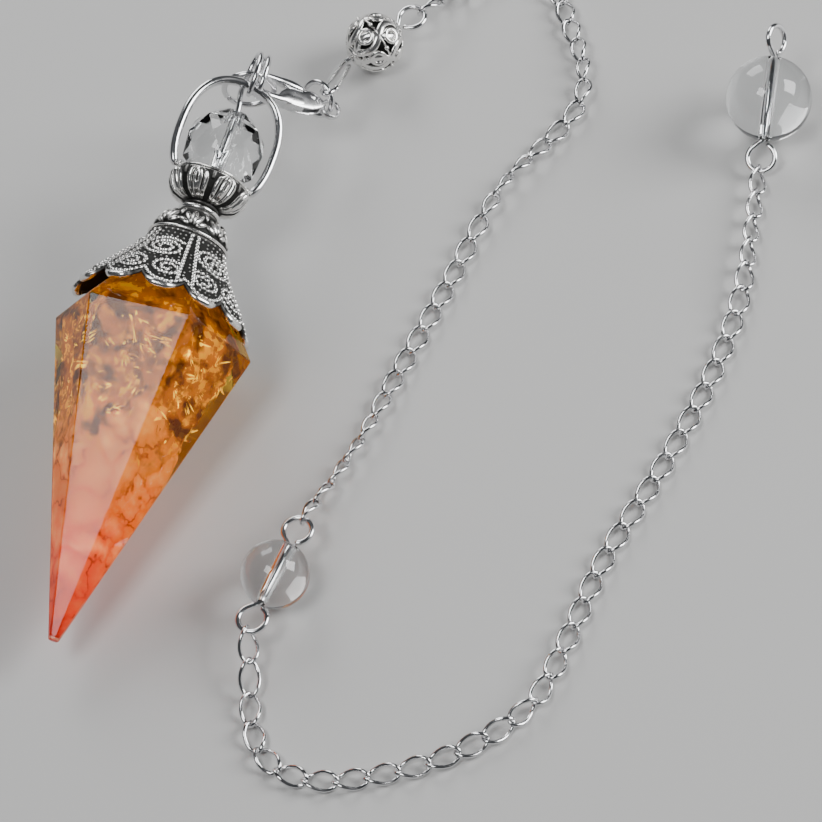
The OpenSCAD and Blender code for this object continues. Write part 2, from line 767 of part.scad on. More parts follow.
module filigree_pin() {
    reach = filigree_r + pin_r + gap;
    pull = unit(pull_p - stem_p);
    far = norm(pull_p - stem_p) + pull_past - eye_r;
    open = unit(square_to(pull_open, pull));
    long_eye = concat([stem_p + 1.9 * pull + 0.6 * eye_r * open],
                      [for (a = [90:-20:-90])
                           stem_p + (far + eye_r * cos(a)) * pull + eye_r * 0.7 * sin(a) * open],
                      [stem_p + 1.3 * pull - 0.3 * eye_r * open]);
    color("silver")
        wire(concat(long_eye, [stem_p],
                    eye_path(filigree_p, filigree_x, cross(level, filigree_x), reach)),
             pin_r, pin_r, level, 6);
}

module drilled_bead(p, x, r) {
    translate(p)
        difference() {
            sphere(r);
            placed([0, 0, 0], x, unit(cross(level, x)))
                rotate([0, 90, 0])
                    cylinder(d = bead_bore, h = 3 * r, center = true);
        }
}

module middle_bead() {
    color("gainsboro", 0.6)
        drilled_bead(middle_p, middle_x, middle_r);
}

module middle_pin() {
    reach = middle_r + pin_r + gap;
    flat_y = cross(level, middle_x);
    color("silver")
        wire(concat(backwards(eye_path(middle_p, -middle_x, flat_y, reach)),
                    eye_path(middle_p, middle_x, flat_y, reach)), pin_r, pin_r, level, 6);
}

module end_bead() {
    color("gainsboro", 0.6)
        drilled_bead(end_p, end_x, end_r);
}

module end_pin() {
    reach = end_r + pin_r + gap;
    flat_y = unit(cross(level, end_x));
    free_y = cos(62) * flat_y + sin(62) * cross(end_x, flat_y);
    color("silver")
        wire(concat(backwards(eye_path(end_p, -end_x, flat_y, reach)),
                    eye_path(end_p, end_x, free_y, reach)), pin_r, pin_r, level, 6);
}

// Where a chain's first joint lies inside an eye that points along x
function joint_in(p, x, r) = p + (r + pin_r + gap + eye_r + eye_hold) * x;

module upper_chain() {
    color("silver")
        chain(joint_in(filigree_p, filigree_x, filigree_r), upper_route,
              joint_in(middle_p, middle_x, middle_r), upper_roll);
}

module tail_chain() {
    color("silver")
        chain(joint_in(middle_p, -middle_x, middle_r), tail_route,
              joint_in(end_p, -end_x, end_r), tail_roll);
}

// Lays the whole object round the origin
module centred() {
    translate([-footprint_at.x, -footprint_at.y, 0])
        children();
}

centred() stone();
centred() filigree_cap();
centred() hoop();
centred() faceted_bead();
centred() bead_pin();
centred() clasp_ring();
centred() clasp_body();
centred() clasp_lever();
centred() jump_ring();
centred() filigree_bead();
centred() filigree_pin();
centred() upper_chain();
centred() middle_bead();
centred() middle_pin();
centred() tail_chain();
centred() end_bead();
centred() end_pin();
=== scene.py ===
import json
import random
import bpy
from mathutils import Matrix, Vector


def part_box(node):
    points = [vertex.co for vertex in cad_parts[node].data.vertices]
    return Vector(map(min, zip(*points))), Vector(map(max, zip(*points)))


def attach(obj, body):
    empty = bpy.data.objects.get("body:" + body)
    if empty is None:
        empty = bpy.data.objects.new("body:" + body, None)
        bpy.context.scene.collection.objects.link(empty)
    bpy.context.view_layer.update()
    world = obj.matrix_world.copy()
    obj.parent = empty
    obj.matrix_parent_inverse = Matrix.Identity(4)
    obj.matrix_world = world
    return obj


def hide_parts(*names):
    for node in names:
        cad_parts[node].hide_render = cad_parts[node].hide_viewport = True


bl_info = {
    "name": "Pendulum pendant",
    "version": (1, 0, 0),
    "blender": (4, 5, 0),
    "location": "3D View > Sidebar > Pendulum",
    "description": "Amber pendulum point in an antiqued filigree cap, with clasp, beads and chain",
    "category": "Add Mesh",
}

from math import asin, copysign, cos, hypot, pi, radians, sin, sqrt

import bmesh
import bpy
from bpy.props import FloatProperty, FloatVectorProperty, IntProperty, PointerProperty
from mathutils import Matrix, Vector, noise

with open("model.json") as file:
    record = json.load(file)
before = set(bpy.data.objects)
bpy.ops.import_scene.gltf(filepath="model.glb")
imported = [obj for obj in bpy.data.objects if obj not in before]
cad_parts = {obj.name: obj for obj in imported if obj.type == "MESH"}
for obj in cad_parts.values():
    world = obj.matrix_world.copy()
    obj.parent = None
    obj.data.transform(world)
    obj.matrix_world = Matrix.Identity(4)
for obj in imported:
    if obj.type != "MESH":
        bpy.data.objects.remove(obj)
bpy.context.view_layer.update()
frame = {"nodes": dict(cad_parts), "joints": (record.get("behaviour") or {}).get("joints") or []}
MM = 0.001
X, Y, UP = Vector((1, 0, 0)), Vector((0, 1, 0)), Vector((0, 0, 1))


# Sizes and colours that a user would change

def length_setting(name, description, size):
    """A length, given in millimetres."""
    return FloatProperty(name=name, description=description, default=size * MM, unit="LENGTH")


def angle_setting(name, description, degrees):
    return FloatProperty(name=name, description=description, default=radians(degrees),
                         subtype="ANGLE")


def colour_setting(name, description, colour):
    return FloatVectorProperty(name=name, description=description, default=colour, size=3,
                               subtype="COLOR")


class LieSettings(bpy.types.PropertyGroup):
    """How the pendant lies: its stone's shoulder, its tilt and the cap's lean"""
    shoulder: FloatVectorProperty(name="Shoulder",
                                  description="Middle of the stone's widest section", size=3,
                                  default=(-26.81 * MM, -11.52 * MM, 10.931 * MM),
                                  subtype="TRANSLATION", unit="LENGTH")
    tilt: angle_setting("Tilt", "Tilt of the pendant's length, its tip the lower end", 8.3)
    lean: angle_setting("Lean", "Lean of the glued cap against the stone", 2.4)


class StoneSettings(bpy.types.PropertyGroup):
    """The stone's form and colours"""
    width: length_setting("Width", "Width across the corners of the shoulder", 24)
    point_length: length_setting("Point length", "Length from the shoulder down to the tip", 38)
    tip_width: length_setting("Tip width", "Width of the small flat on the tip", 1.3)
    crown_height: length_setting("Crown height", "Height of the slope above the shoulder", 4.3)
    crown_width: length_setting("Crown width", "Width across the corners on top of the crown",
                                17.6)
    turn: angle_setting("Turn", "Turn of the corners about the stone's length", 7)
    amber: colour_setting("Amber", "Colour of the clear upper part", (0.44, 0.14, 0.001))
    peach: colour_setting("Peach", "Colour of the milky middle", (0.74, 0.17, 0.006))
    red: colour_setting("Red", "Colour of the tip", (0.52, 0.014, 0.0))


class CapSettings(bpy.types.PropertyGroup):
    """The cast cap: lace bell, dome, neck and lotus cup"""
    rim_height: length_setting("Rim height", "Height of the scalloped rim above the shoulder",
                               2.838)
    rim_width: length_setting("Rim width", "Width of the bell at its rim", 21.824)
    bell_height: length_setting("Bell height", "Height of the lace bell", 9.8)
    wall: length_setting("Wall", "Wall of the bell", 0.55)
    collar_width: length_setting("Collar width", "Width of the bell at the collar", 9.2)
    dome_height: length_setting("Dome height", "Height of the leafy dome", 3.7)
    neck_width: length_setting("Neck width", "Width of the neck between dome and cup", 3.8)
    neck_height: length_setting("Neck height", "Height of the neck", 1.3)
    cup_width: length_setting("Cup width", "Widest width of the lotus cup", 9.5)
    cup_height: length_setting("Cup height", "Height of the lotus cup", 3.6)
    scallops: IntProperty(name="Scallops", description="Scallops round the rim", default=12)
    petals: IntProperty(name="Petals", description="Petals round the cup", default=8)


class HoopSettings(bpy.types.PropertyGroup):
    """The hoop, the faceted bead under it and the bead's pin"""
    width: length_setting("Width", "Width of the hoop to the middle of its wire", 11.8)
    top: length_setting("Top", "Height of the top wire above the shoulder", 34.538)
    middle: length_setting("Middle", "Height of the hoop's middle above the shoulder", 26.691)
    thickness: length_setting("Thickness", "Thickness of the wire from the front", 1.04)
    depth: length_setting("Depth", "Depth of the wire from front to back", 1.28)
    turn: angle_setting("Turn", "Turn of the hoop about the pendant's length", 29)
    bead_width: length_setting("Bead width", "Width of the faceted bead", 10)
    bead_height: length_setting("Bead height", "Height of the bead's middle above the shoulder",
                                25.588)
    coil_height: length_setting("Coil height", "Height of the coil's middle above the shoulder",
                                36.238)


class WireSettings(bpy.types.PropertyGroup):
    """Wires, rings, links and the bores of the beads"""
    pin: length_setting("Pin", "Wire of the eye pins", 0.7)
    ring: length_setting("Ring", "Wire of the jump rings", 0.7)
    link: length_setting("Link", "Wire of the links", 0.48)
    bore: length_setting("Bore", "Hole through each bead", 1.1)
    eye: length_setting("Eye", "Width of an eye to the middle of its wire", 3.3)
    gap: length_setting("Gap", "Gap between an eye and its bead", 0.1)
    link_twist: angle_setting("Link twist", "Twist of each half link", 45)
    silver: colour_setting("Silver", "Colour of the bright silver", (0.80, 0.80, 0.81))


class StageSettings(bpy.types.PropertyGroup):
    """The floor, the lights and the camera"""
    distance: length_setting("Distance", "Distance of the camera from the floor's middle", 389.6)
    azimuth: angle_setting("Azimuth", "Turn of the camera round the object", 30.3)
    elevation: angle_setting("Elevation", "Height of the camera above the horizon", 56.3)
    roll: angle_setting("Roll", "Roll of the camera", -15.7)
    aim: FloatVectorProperty(name="Aim", description="Point of the floor that the camera looks at",
                             size=2, default=(2.26 * MM, -8.5 * MM), subtype="TRANSLATION",
                             unit="LENGTH")
    floor: colour_setting("Floor", "Colour of the floor", (0.52, 0.52, 0.515))


# Small helpers for places, directions and lines

def polar(radius, angle, height):
    return Vector((radius * cos(angle), radius * sin(angle), height))


def square_to(v, axis):
    """The part of v that is square to a unit axis."""
    return v - v.dot(axis) * axis


def heading(turn, tilt=0.0):
    """A unit direction, from its turn about z and its tilt above the floor."""
    return polar(cos(tilt), turn, sin(tilt))


def squared(x, power):
    """A cosine or sine that rounds a square instead of a circle, for a power under 1."""
    return copysign(abs(x) ** power, x)


def circle(radius, height, columns, turn=0.0):
    """Points round the z axis."""
    return [polar(radius, turn + 2 * pi * k / columns, height) for k in range(columns)]


def smoothstep(low, high, x):
    t = min(1.0, max(0.0, (x - low) / (high - low)))
    return t * t * (3 - 2 * t)


def look_up(table, x):
    """A value between the rows of a table of pairs, on straight lines from row to row."""
    if x <= table[0][0]:
        return table[0][1]
    for (x0, y0), (x1, y1) in zip(table, table[1:]):
        if x <= x1:
            return y0 + (y1 - y0) * (x - x0) / (x1 - x0)
    return table[-1][1]


def shares(steps):
    """Even shares from 0 to 1."""
    return [i / steps for i in range(steps + 1)]


def curve_through(points, steps):
    """A smooth curve through points, with so many steps between two of them."""
    last = len(points) - 1
    out = []
    for i in range(last):
        a, b, c, d = (points[min(max(i + j, 0), last)] for j in (-1, 0, 1, 2))
        for k in range(steps):
            t = k / steps
            out.append(0.5 * (2 * b + (c - a) * t + (2 * a - 5 * b + 4 * c - d) * t * t
                              + (3 * b - a - 3 * c + d) * t * t * t))
    out.append(points[-1].copy())
    return out


def directions(path, closed=False):
    """The direction of a path at each of its points."""
    last = len(path) - 1
    out = []
    for i in range(len(path)):
        ahead = path[(i + 1) % len(path)] if closed else path[min(i + 1, last)]
        behind = path[i - 1] if closed or i else path[0]
        out.append((ahead - behind).normalized())
    return out


# Forms

class Form:
    """Points and faces with a brightness per point, gathered from many small shapes."""

    def __init__(self):
        self.points = []
        self.faces = []
        self.shine = []

    def add(self, points, faces, shine=1.0):
        first = len(self.points)
        self.points.extend(points)
        self.faces.extend(tuple(first + i for i in face) for face in faces)
        self.shine.extend(shine if isinstance(shine, list) else [shine] * len(points))

    def skin(self, rows, shine=1.0, closed_rows=False, closed_columns=True, ends=False):
        """Joins rows of as many points each, and closes the first and last row where asked."""
        n = len(rows[0])
        faces = []
        for i in range(len(rows) if closed_rows else len(rows) - 1):
            j = (i + 1) % len(rows)
            for k in range(n if closed_columns else n - 1):
                m = (k + 1) % n
                faces.append((i * n + k, i * n + m, j * n + m, j * n + k))
        self.add([p for row in rows for p in row], faces, shine)
        if ends:
            last = len(self.points) - n
            first = last - n * (len(rows) - 1)
            self.faces.append(tuple(first + k for k in reversed(range(n))))
            self.faces.append(tuple(last + k for k in range(n)))

    def tube(self, path, half_width, half_depth=None, side=UP, sides=12, closed=False, shine=1.0,
             sizes=None, normals=None, square=1.0):
        """Sweeps a round or flattened section along a path."""
        half_depth = half_depth or half_width
        tangents = directions(path, closed)
        if normals is None:
            normals = [square_to(side, tangents[0]).normalized()]
            for t in tangents[1:]:
                normals.append(square_to(normals[-1], t).normalized())
        sizes = sizes or [1.0] * len(path)
        stations = list(zip(path, tangents, normals, sizes))
        if not closed:
            stations = self.rounded(stations, half_width)
        section = [(half_width * squared(q.x, square), half_depth * squared(q.y, square))
                   for q in circle(1, 0, sides)]
        rows = []
        for p, t, n, size in stations:
            other = t.cross(n)
            rows.append([p + size * (wide * n + deep * other) for wide, deep in section])
        self.skin(rows, shine, closed_rows=closed, ends=not closed)

    @staticmethod
    def rounded(stations, radius):
        """Adds domed ends to a swept wire."""
        def dome(station, hand):
            p, t, n, size = station
            return [(p + hand * radius * size * (1 - sin(radians(a))) * t * 0.9, t, n,
                     size * cos(radians(a))) for a in (80, 55, 30)]

        return dome(stations[0], 1) + stations[1:-1] + dome(stations[-1], -1)[::-1]

    def ring(self, middle, x, y, radius, half_width, half_depth=None, steps=64, sides=12,
             shine=1.0):
        """A closed ring in the plane of x and y."""
        path = [middle + q.x * x + q.y * y for q in circle(radius, 0, steps)]
        self.tube(path, half_width, half_depth, side=x.cross(y), sides=sides, closed=True,
                  shine=shine)

    def ball(self, middle, radius, steps=8, shine=1.0):
        ups = [pi * i / steps for i in range(1, steps)]
        self.turned([(radius * sin(up), -radius * cos(up)) for up in ups], 2 * steps, shine,
                    middle=middle, ends=True)

    def grain(self, p, way, out, length, width, height, bright=1.0, sides=8):
        """Half an ellipsoid on a surface, bright on top and dark at its foot."""
        side = out.cross(way).normalized()
        first = len(self.points)
        rows, shine = [], []
        for up, tone in ((0, 0.0), (26, 0.4), (55, 0.95)):
            lifted = p + height * sin(radians(up)) * out
            rows.append([lifted + length * q.x * way + width * q.y * side
                         for q in circle(cos(radians(up)), 0, sides)])
            shine.extend([tone * bright] * sides)
        self.skin(rows, shine)
        self.add([p + height * out], [], bright)
        top, last = first + 3 * sides, first + 2 * sides
        self.faces.extend((last + k, last + (k + 1) % sides, top) for k in range(sides))

    def turned(self, outline, columns, shine=1.0, middle=None, **closed):
        """A surface of revolution about z, from pairs of radius and height."""
        middle = middle or Vector()
        self.skin([[middle + p for p in circle(r, s, columns)] for r, s in outline], shine,
                  **closed)


def make_piece(name, form, finish, node=None, body="pendant", place=None, sharp=None):
    """Turns a form into a piece that rides on a body, and takes the place of a node."""
    place = place or Matrix.Identity(4)
    slot, make, *settings = FINISHES[finish]
    mesh = bpy.data.meshes.new(name)
    mesh.from_pydata([place @ p for p in form.points], [], form.faces)
    bm = bmesh.new()
    bm.from_mesh(mesh)
    bmesh.ops.recalc_face_normals(bm, faces=bm.faces)
    bm.to_mesh(mesh)
    bm.free()
    mesh.attributes.new("shine", "FLOAT", "POINT").data.foreach_set("value", form.shine)
    if sharp is None:
        mesh.shade_smooth()
    elif sharp > 0:
        mesh.shade_smooth()
        mesh.set_sharp_from_angle(angle=sharp)
    mesh.materials.append(made_once(finish, make, *settings))
    piece = bpy.data.objects.new(name, mesh)
    bpy.context.scene.collection.objects.link(piece)
    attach(piece, body)
    if node:
        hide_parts(node)
    return piece


def bevelled(form, offset, segments):
    """The same form with its edges a little rounded."""
    bm = bmesh.new()
    corners = [bm.verts.new(p) for p in form.points]
    for face in form.faces:
        bm.faces.new([corners[i] for i in face])
    bmesh.ops.recalc_face_normals(bm, faces=bm.faces)
    bmesh.ops.bevel(bm, geom=list(bm.edges), offset=offset, segments=segments, profile=0.5,
                    affect="EDGES")
    bm.verts.index_update()
    made = Form()
    made.add([v.co.copy() for v in bm.verts], [[v.index for v in f.verts] for f in bm.faces])
    bm.free()
    return made


# Places

def laid():
    """From the pendant's upright axes to where it lies."""
    lie = bpy.context.scene.pendulum_lie
    return Matrix.Translation(Vector(lie.shoulder)) @ Matrix.Rotation(lie.tilt - pi / 2, 4, "X")


def seated(turn=0.0):
    """The same for the cap and all above it, which lean against the stone."""
    lie = bpy.context.scene.pendulum_lie
    rim = bpy.context.scene.pendulum_cap.rim_height
    lean = Matrix.Rotation(lie.lean, 4, "Y")
    about_rim = Matrix.Translation(UP * rim) @ lean @ Matrix.Translation(-UP * rim)
    return laid() @ about_rim @ Matrix.Rotation(turn, 4, "Z")


def middle_of(node):
    low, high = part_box(node)
    return (low + high) / 2


def place_along(middle, x):
    """At a middle, with the z axis along x."""
    return Matrix.Translation(middle) @ x.to_track_quat("Z", "Y").to_matrix().to_4x4()


# Materials

class Finish:
    """A material in the making, with a short call for each kind of node that goes into it."""

    def __init__(self, name):
        self.material = bpy.data.materials.new(name)
        self.material.use_nodes = True
        self.tree = self.material.node_tree
        self.place = self.node("TexCoord").outputs["Object"]

    def fill(self, node, inputs):
        """Sets or links the inputs of a node."""
        for key, value in inputs.items():
            if isinstance(value, bpy.types.NodeSocket):
                self.tree.links.new(value, node.inputs[key])
            else:
                node.inputs[key].default_value = value

    def node(self, kind, inputs=None, **settings):
        node = self.tree.nodes.new("ShaderNode" + kind)
        for key, value in settings.items():
            setattr(node, key, value)
        self.fill(node, inputs or {})
        return node

    def shine(self):
        """The brightness that a form gave each of its points."""
        return self.node("Attribute", attribute_name="shine").outputs["Fac"]

    def noise(self, scale, detail, roughness=0.5, distortion=0.0):
        return self.node("TexNoise", {"Vector": self.place, "Scale": scale, "Detail": detail,
                                      "Roughness": roughness, "Distortion": distortion})

    def cells(self, place, scale, **settings):
        return self.node("TexVoronoi", {"Vector": place, "Scale": scale}, **settings)

    def spread(self, value, low, high, start=0.0, end=1.0):
        """What lies from low to high, spread from start to end."""
        return self.node("MapRange", {"Value": value, "From Min": low, "From Max": high,
                                      "To Min": start, "To Max": end}).outputs["Result"]

    def count(self, operation, first, second, **settings):
        return self.node("Math", {0: first, 1: second}, operation=operation, **settings).outputs[0]

    def times(self, *values):
        total = values[0]
        for value in values[1:]:
            total = self.count("MULTIPLY", total, value)
        return total

    def blend(self, share, first, second):
        """A colour between two, the first of which may be linked."""
        if not isinstance(first, bpy.types.NodeSocket):
            first = (*first, 1.0)
        return self.node("Mix", {"Factor": share, "A": first, "B": (*second, 1.0)},
                         data_type="RGBA").outputs["Result"]

    def ramp(self, value, *stops):
        """Colours at rising positions, smooth between them."""
        ramp = self.node("ValToRGB", {"Fac": value})
        elements = ramp.color_ramp.elements
        elements[0].position, elements[1].position = stops[0][0], stops[-1][0]
        for position, _ in stops[1:-1]:
            elements.new(position)
        for element, (_, colour) in zip(elements, stops):
            element.color = (*colour, 1)
        return ramp.outputs["Color"]

    def bump(self, height, strength, depth):
        return self.node("Bump", {"Height": height, "Strength": strength,
                                  "Distance": depth}).outputs["Normal"]

    def done(self, inputs):
        """Fills in the shader."""
        self.fill(self.tree.nodes["Principled BSDF"], inputs)
        return self.material


def made_once(name, make, *settings):
    """The material of a name, made where there is none yet."""
    return bpy.data.materials.get(name) or make(Finish(name), *settings)


def bright_silver(plate, roughness):
    """Polished silver plate with faint drawing marks and soft smears."""
    silver = tuple(bpy.context.scene.pendulum_wire.silver)
    smear = plate.noise(420.0, 4.0).outputs["Fac"]
    marks = plate.noise(2600.0, 3.0).outputs["Fac"]
    matt = plate.spread(smear, 0.3, 0.7, roughness * 0.7, roughness * 1.5)
    return plate.done({"Base Color": plate.blend(smear, tuple(c * 0.86 for c in silver), silver),
                       "Metallic": 1.0, "Roughness": matt,
                       "Normal": plate.bump(marks, 0.06, 0.02 * MM)})


def antique_silver(cast):
    """Cast silver plate, black in the hollows and rubbed bright on what stands out."""
    tarnish = cast.noise(900.0, 6.0, roughness=0.65).outputs["Fac"]
    edge = cast.node("NewGeometry").outputs["Pointiness"]
    lift = cast.count("ADD", cast.shine(), cast.spread(edge, 0.44, 0.60, -0.2, 0.25))
    lift = cast.count("ADD", lift, cast.spread(tarnish, 0.35, 0.65, -0.15, 0.12), use_clamp=True)
    tones = cast.ramp(lift, (0.15, (0.010, 0.010, 0.009)), (0.5, (0.15, 0.147, 0.143)),
                      (0.85, (0.84, 0.83, 0.81)))
    return cast.done({"Base Color": tones,
                      "Metallic": cast.spread(lift, 0.0, 0.45, 0.1, 1.0),
                      "Roughness": cast.spread(lift, 0.1, 0.9, 0.6, 0.24),
                      "Normal": cast.bump(tarnish, 0.25, 0.05 * MM), "Specular IOR Level": 0.3})


def clear_glass(glass):
    """Clear polished glass with a trace of grey."""
    veil = glass.noise(160.0, 5.0).outputs["Fac"]
    return glass.done({"Base Color": glass.blend(veil, (0.84, 0.85, 0.86), (0.93, 0.94, 0.94)),
                       "Transmission Weight": 1.0, "Roughness": 0.0, "IOR": 1.5})


def stone_resin(resin):
    """The stone's clear glossy outside, faintly tinted: amber above, red at the tip."""
    tint = resin.ramp(resin.shine(), (0.15, (1.0, 0.70, 0.05)), (0.5, (1.0, 0.68, 0.40)),
                      (1.0, (1.0, 0.36, 0.22)))
    return resin.done({"Base Color": tint, "Transmission Weight": 1.0, "Roughness": 0.015,
                       "IOR": 1.3})


def stone_inside(resin):
    """Dark amber with golden crackle above, milky chips below, red at the tip, all glowing with
    painted light.
    """
    stone = bpy.context.scene.pendulum_stone
    spread, count, times, blend = resin.spread, resin.count, resin.times, resin.blend
    drift = resin.noise(190.0, 5.0, roughness=0.6)
    cloud = resin.noise(330.0, 4.0, distortion=0.35).outputs["Fac"]
    bent = resin.node("VectorMath", {0: drift.outputs["Color"], 1: (0.006,) * 3},
                      operation="MULTIPLY").outputs["Vector"]
    bent = resin.node("VectorMath", {0: resin.place, 1: bent}, operation="ADD").outputs["Vector"]
    along = count("ADD", resin.shine(), spread(drift.outputs["Fac"], 0.3, 0.7, -0.10, 0.10))
    clear = resin.ramp(along, (0.26, stone.amber), (0.40, (0.62, 0.19, 0.002)),
                       (0.58, stone.peach), (0.80, (0.80, 0.08, 0.003)), (0.98, stone.red))
    # Milky chips, each of its own tone, that begin chip by chip
    chip = 250.0
    own = resin.node("SeparateColor", {"Color": resin.cells(bent, chip).outputs["Color"]})
    border = resin.cells(bent, chip, feature="DISTANCE_TO_EDGE").outputs["Distance"]
    low = spread(count("ADD", along, spread(own.outputs["Green"], 0, 1, -0.07, 0.07)), 0.31, 0.37)
    milky = times(spread(border, 0.0, 0.30), spread(own.outputs["Red"], 0, 1, 0.2, 1.0),
                  spread(cloud, 0.36, 0.6, 0.35, 1.0), spread(along, 1.0, 0.8, 0.1, 1.0))
    # The milky tone is brighter than white so that the chips glow brighter: painted light
    body = blend(times(milky, low), clear, (1.6, 0.80, 0.34))
    # A few cracks between the chips
    crack = times(spread(border, 0.0, 0.05, 0.8, 0.0), spread(cloud, 0.55, 0.42))
    body = blend(times(crack, low), body, (0.24, 0.02, 0.002))
    # Dark depths and angular golden shards above them
    high = spread(low, 0.0, 1.0, 1.0, 0.0)
    body = blend(times(spread(cloud, 0.54, 0.40, 0.0, 0.9), high), body, (0.05, 0.012, 0.0))
    shards = resin.node("SeparateColor", {"Color": resin.cells(bent, 1250.0).outputs["Color"]})
    gold = times(spread(shards.outputs["Red"], 0.6, 1.0), spread(cloud, 0.46, 0.58, 0.08, 1.0),
                 high)
    body = blend(gold, body, (1.0, 0.52, 0.0))
    # The colours also glow as emission: painted light standing in for light shining through the
    # resin
    return resin.done({"Base Color": body, "Emission Color": body, "Emission Strength": 0.42,
                       "Roughness": 0.5, "Specular IOR Level": 0.05})


def gold_fleck(gold):
    """Golden crackle inside the stone, glowing with painted light for its glints."""
    colour = gold.ramp(gold.noise(700.0, 3.0).outputs["Fac"], (0.40, (0.22, 0.07, 0.002)),
                       (0.60, (1.0, 0.66, 0.08)))
    # Emission paints the glints of the flecks as light of their own
    return gold.done({"Base Color": colour, "Emission Color": colour, "Emission Strength": 1.6,
                      "Metallic": 0.35, "Roughness": 0.25})


def pale_floor(cloth):
    """A plain pale matt floor."""
    colour = tuple(bpy.context.scene.pendulum_stage.floor)
    grain = cloth.noise(60.0, 3.0).outputs["Fac"]
    return cloth.done({"Base Color": cloth.blend(grain, tuple(c * 0.99 for c in colour), colour),
                       "Roughness": 0.55})


# Slot of each material, the function that makes it and its settings
FINISHES = {"bright_silver_wire": ("bright_silver", bright_silver, 0.16),
            "bright_silver_cast": ("bright_silver", bright_silver, 0.22),
            "antique_silver_cast": ("antique_silver", antique_silver),
            "clear_glass_bead": ("clear_glass", clear_glass),
            "amber_resin": ("stone_resin", stone_resin),
            "stone_inside": ("stone_resin", stone_inside),
            "gold_fleck": ("stone_resin", gold_fleck)}


# Stage

def add_camera(context):
    stage = context.scene.pendulum_stage
    data = bpy.data.cameras.new("camera")
    camera = bpy.data.objects.new("camera", data)
    context.scene.collection.objects.link(camera)
    # The lens as it was fitted to the photo, in the photo's pixels
    focal_pixels = 3333
    frame_pixels = 822
    data.sensor_width = 36  # mm
    data.lens = focal_pixels / frame_pixels * data.sensor_width
    data.clip_start = 10 * MM
    back = Vector((sin(stage.azimuth) * cos(stage.elevation),
                   -cos(stage.azimuth) * cos(stage.elevation), sin(stage.elevation)))
    aim = Vector((stage.aim[0], stage.aim[1], 0))
    turn = (-back).to_track_quat("-Z", "Y").to_matrix().to_4x4()
    camera.matrix_world = (Matrix.Translation(aim + stage.distance * back) @ turn
                           @ Matrix.Rotation(stage.roll, 4, "Z"))
    context.scene.camera = camera


def add_floor(context):
    half = 3.0  # m
    mesh = bpy.data.meshes.new("floor")
    corners = [(-half, -half, 0), (half, -half, 0), (half, half, 0), (-half, half, 0)]
    mesh.from_pydata(corners, [], [(0, 1, 2, 3)])
    mesh.materials.append(made_once("pale_floor", pale_floor))
    floor = bpy.data.objects.new("floor", mesh)
    context.scene.collection.objects.link(floor)


def add_lights(context):
    world = context.scene.world or bpy.data.worlds.new("studio")
    context.scene.world = world
    world.use_nodes = True
    back = world.node_tree.nodes["Background"]
    back.inputs["Color"].default_value = (0.80, 0.84, 0.90, 1)
    back.inputs["Strength"].default_value = 0.07
    # Name, place, aim, size, watts
    softboxes = (("overhead_box", (-0.105, -0.20, 0.58), (-0.026, -0.026, 0.012), 0.22, 1.7),
                 ("side_box", (0.55, 0.25, 0.35), (0, 0, 0), 0.36, 6.0),
                 ("back_box", (-0.40, 0.50, 0.40), (0, 0, 0), 0.36, 2.5))
    for name, place, aim, size, watts in softboxes:
        data = bpy.data.lights.new(name, "AREA")
        data.shape = "SQUARE"
        data.size = size
        data.energy = watts
        lamp = bpy.data.objects.new(name, data)
        context.scene.collection.objects.link(lamp)
        lamp.location = place
        lamp.rotation_mode = "QUATERNION"
        lamp.rotation_quaternion = (Vector(aim) - Vector(place)).to_track_quat("-Z", "Y")


class PENDULUM_OT_stage(bpy.types.Operator):
    """Add the camera, the pale floor and the soft lights"""
    bl_idname = "pendulum.stage"
    bl_label = "Stage"

    def execute(self, context):
        add_camera(context)
        add_floor(context)
        add_lights(context)
        return {"FINISHED"}


# Stone

def add_shell(stone):
    """The polished outside, its edges a little rounded, with the plug that is glued in the cap."""
    edge_round = 0.16 * MM
    plug = 2.2 * MM
    # Height and width
    rings = ((-stone.point_length, stone.tip_width), (0, stone.width),
             (stone.crown_height, stone.crown_width),
             (stone.crown_height + plug, 0.76 * stone.crown_width))
    form = Form()
    form.skin([circle(width / 2, height, 6, stone.turn) for height, width in rings], ends=True)
    form = bevelled(form, edge_round, 3)
    form.shine = [min(1.0, max(0.0, -p.z / stone.point_length)) for p in form.points]
    piece = make_piece("stone_point", form, "amber_resin", "stone", place=laid(),
                       sharp=radians(22))
    even = piece.modifiers.new("even_faces", "WEIGHTED_NORMAL")
    even.weight = 100
    even.keep_sharp = True


def add_inside(stone):
    """The clouded inside: close under the surface below, deeper and lumpy above."""
    columns = 132
    above_crown = 1.2 * MM
    bottom, top = -0.985 * stone.point_length, stone.crown_height + above_crown
    rows, shine = [], []
    for t in shares(130):
        z = bottom + (top - bottom) * t
        share = -z / stone.point_length
        if z < 0:
            radius = stone.tip_width / 2 + (stone.width - stone.tip_width) / 2 * (1 - share)
        else:
            slope = min(1.0, z / stone.crown_height)
            radius = (stone.width - (stone.width - stone.crown_width) * slope) / 2
        # A thin clear skin, thicker in the point's upper part and under the crown
        depth = 0.25 * MM + 0.2 * MM * radius / stone.width
        depth += (1.7 * smoothstep(0.44, 0.24, share) + 0.5 * smoothstep(0, 3 * MM, z)) * MM
        row = []
        for k in range(columns):
            a = 2 * pi * k / columns
            sector = (a - stone.turn) % (pi / 3) - pi / 6
            flat = radius * cos(pi / 6) / cos(sector)
            spot = polar(radius, a, z) / MM
            lump = noise.noise(spot * 0.55) + 0.5 * noise.noise(spot * 1.3)
            r = max(0.02 * MM, flat - depth * (1 + 0.42 * lump))
            row.append(polar(r, a, z))
            shine.append(max(0.0, share))
        rows.append(row)
    form = Form()
    form.skin(rows, shine, ends=True)
    make_piece("stone_body", form, "stone_inside", place=laid())


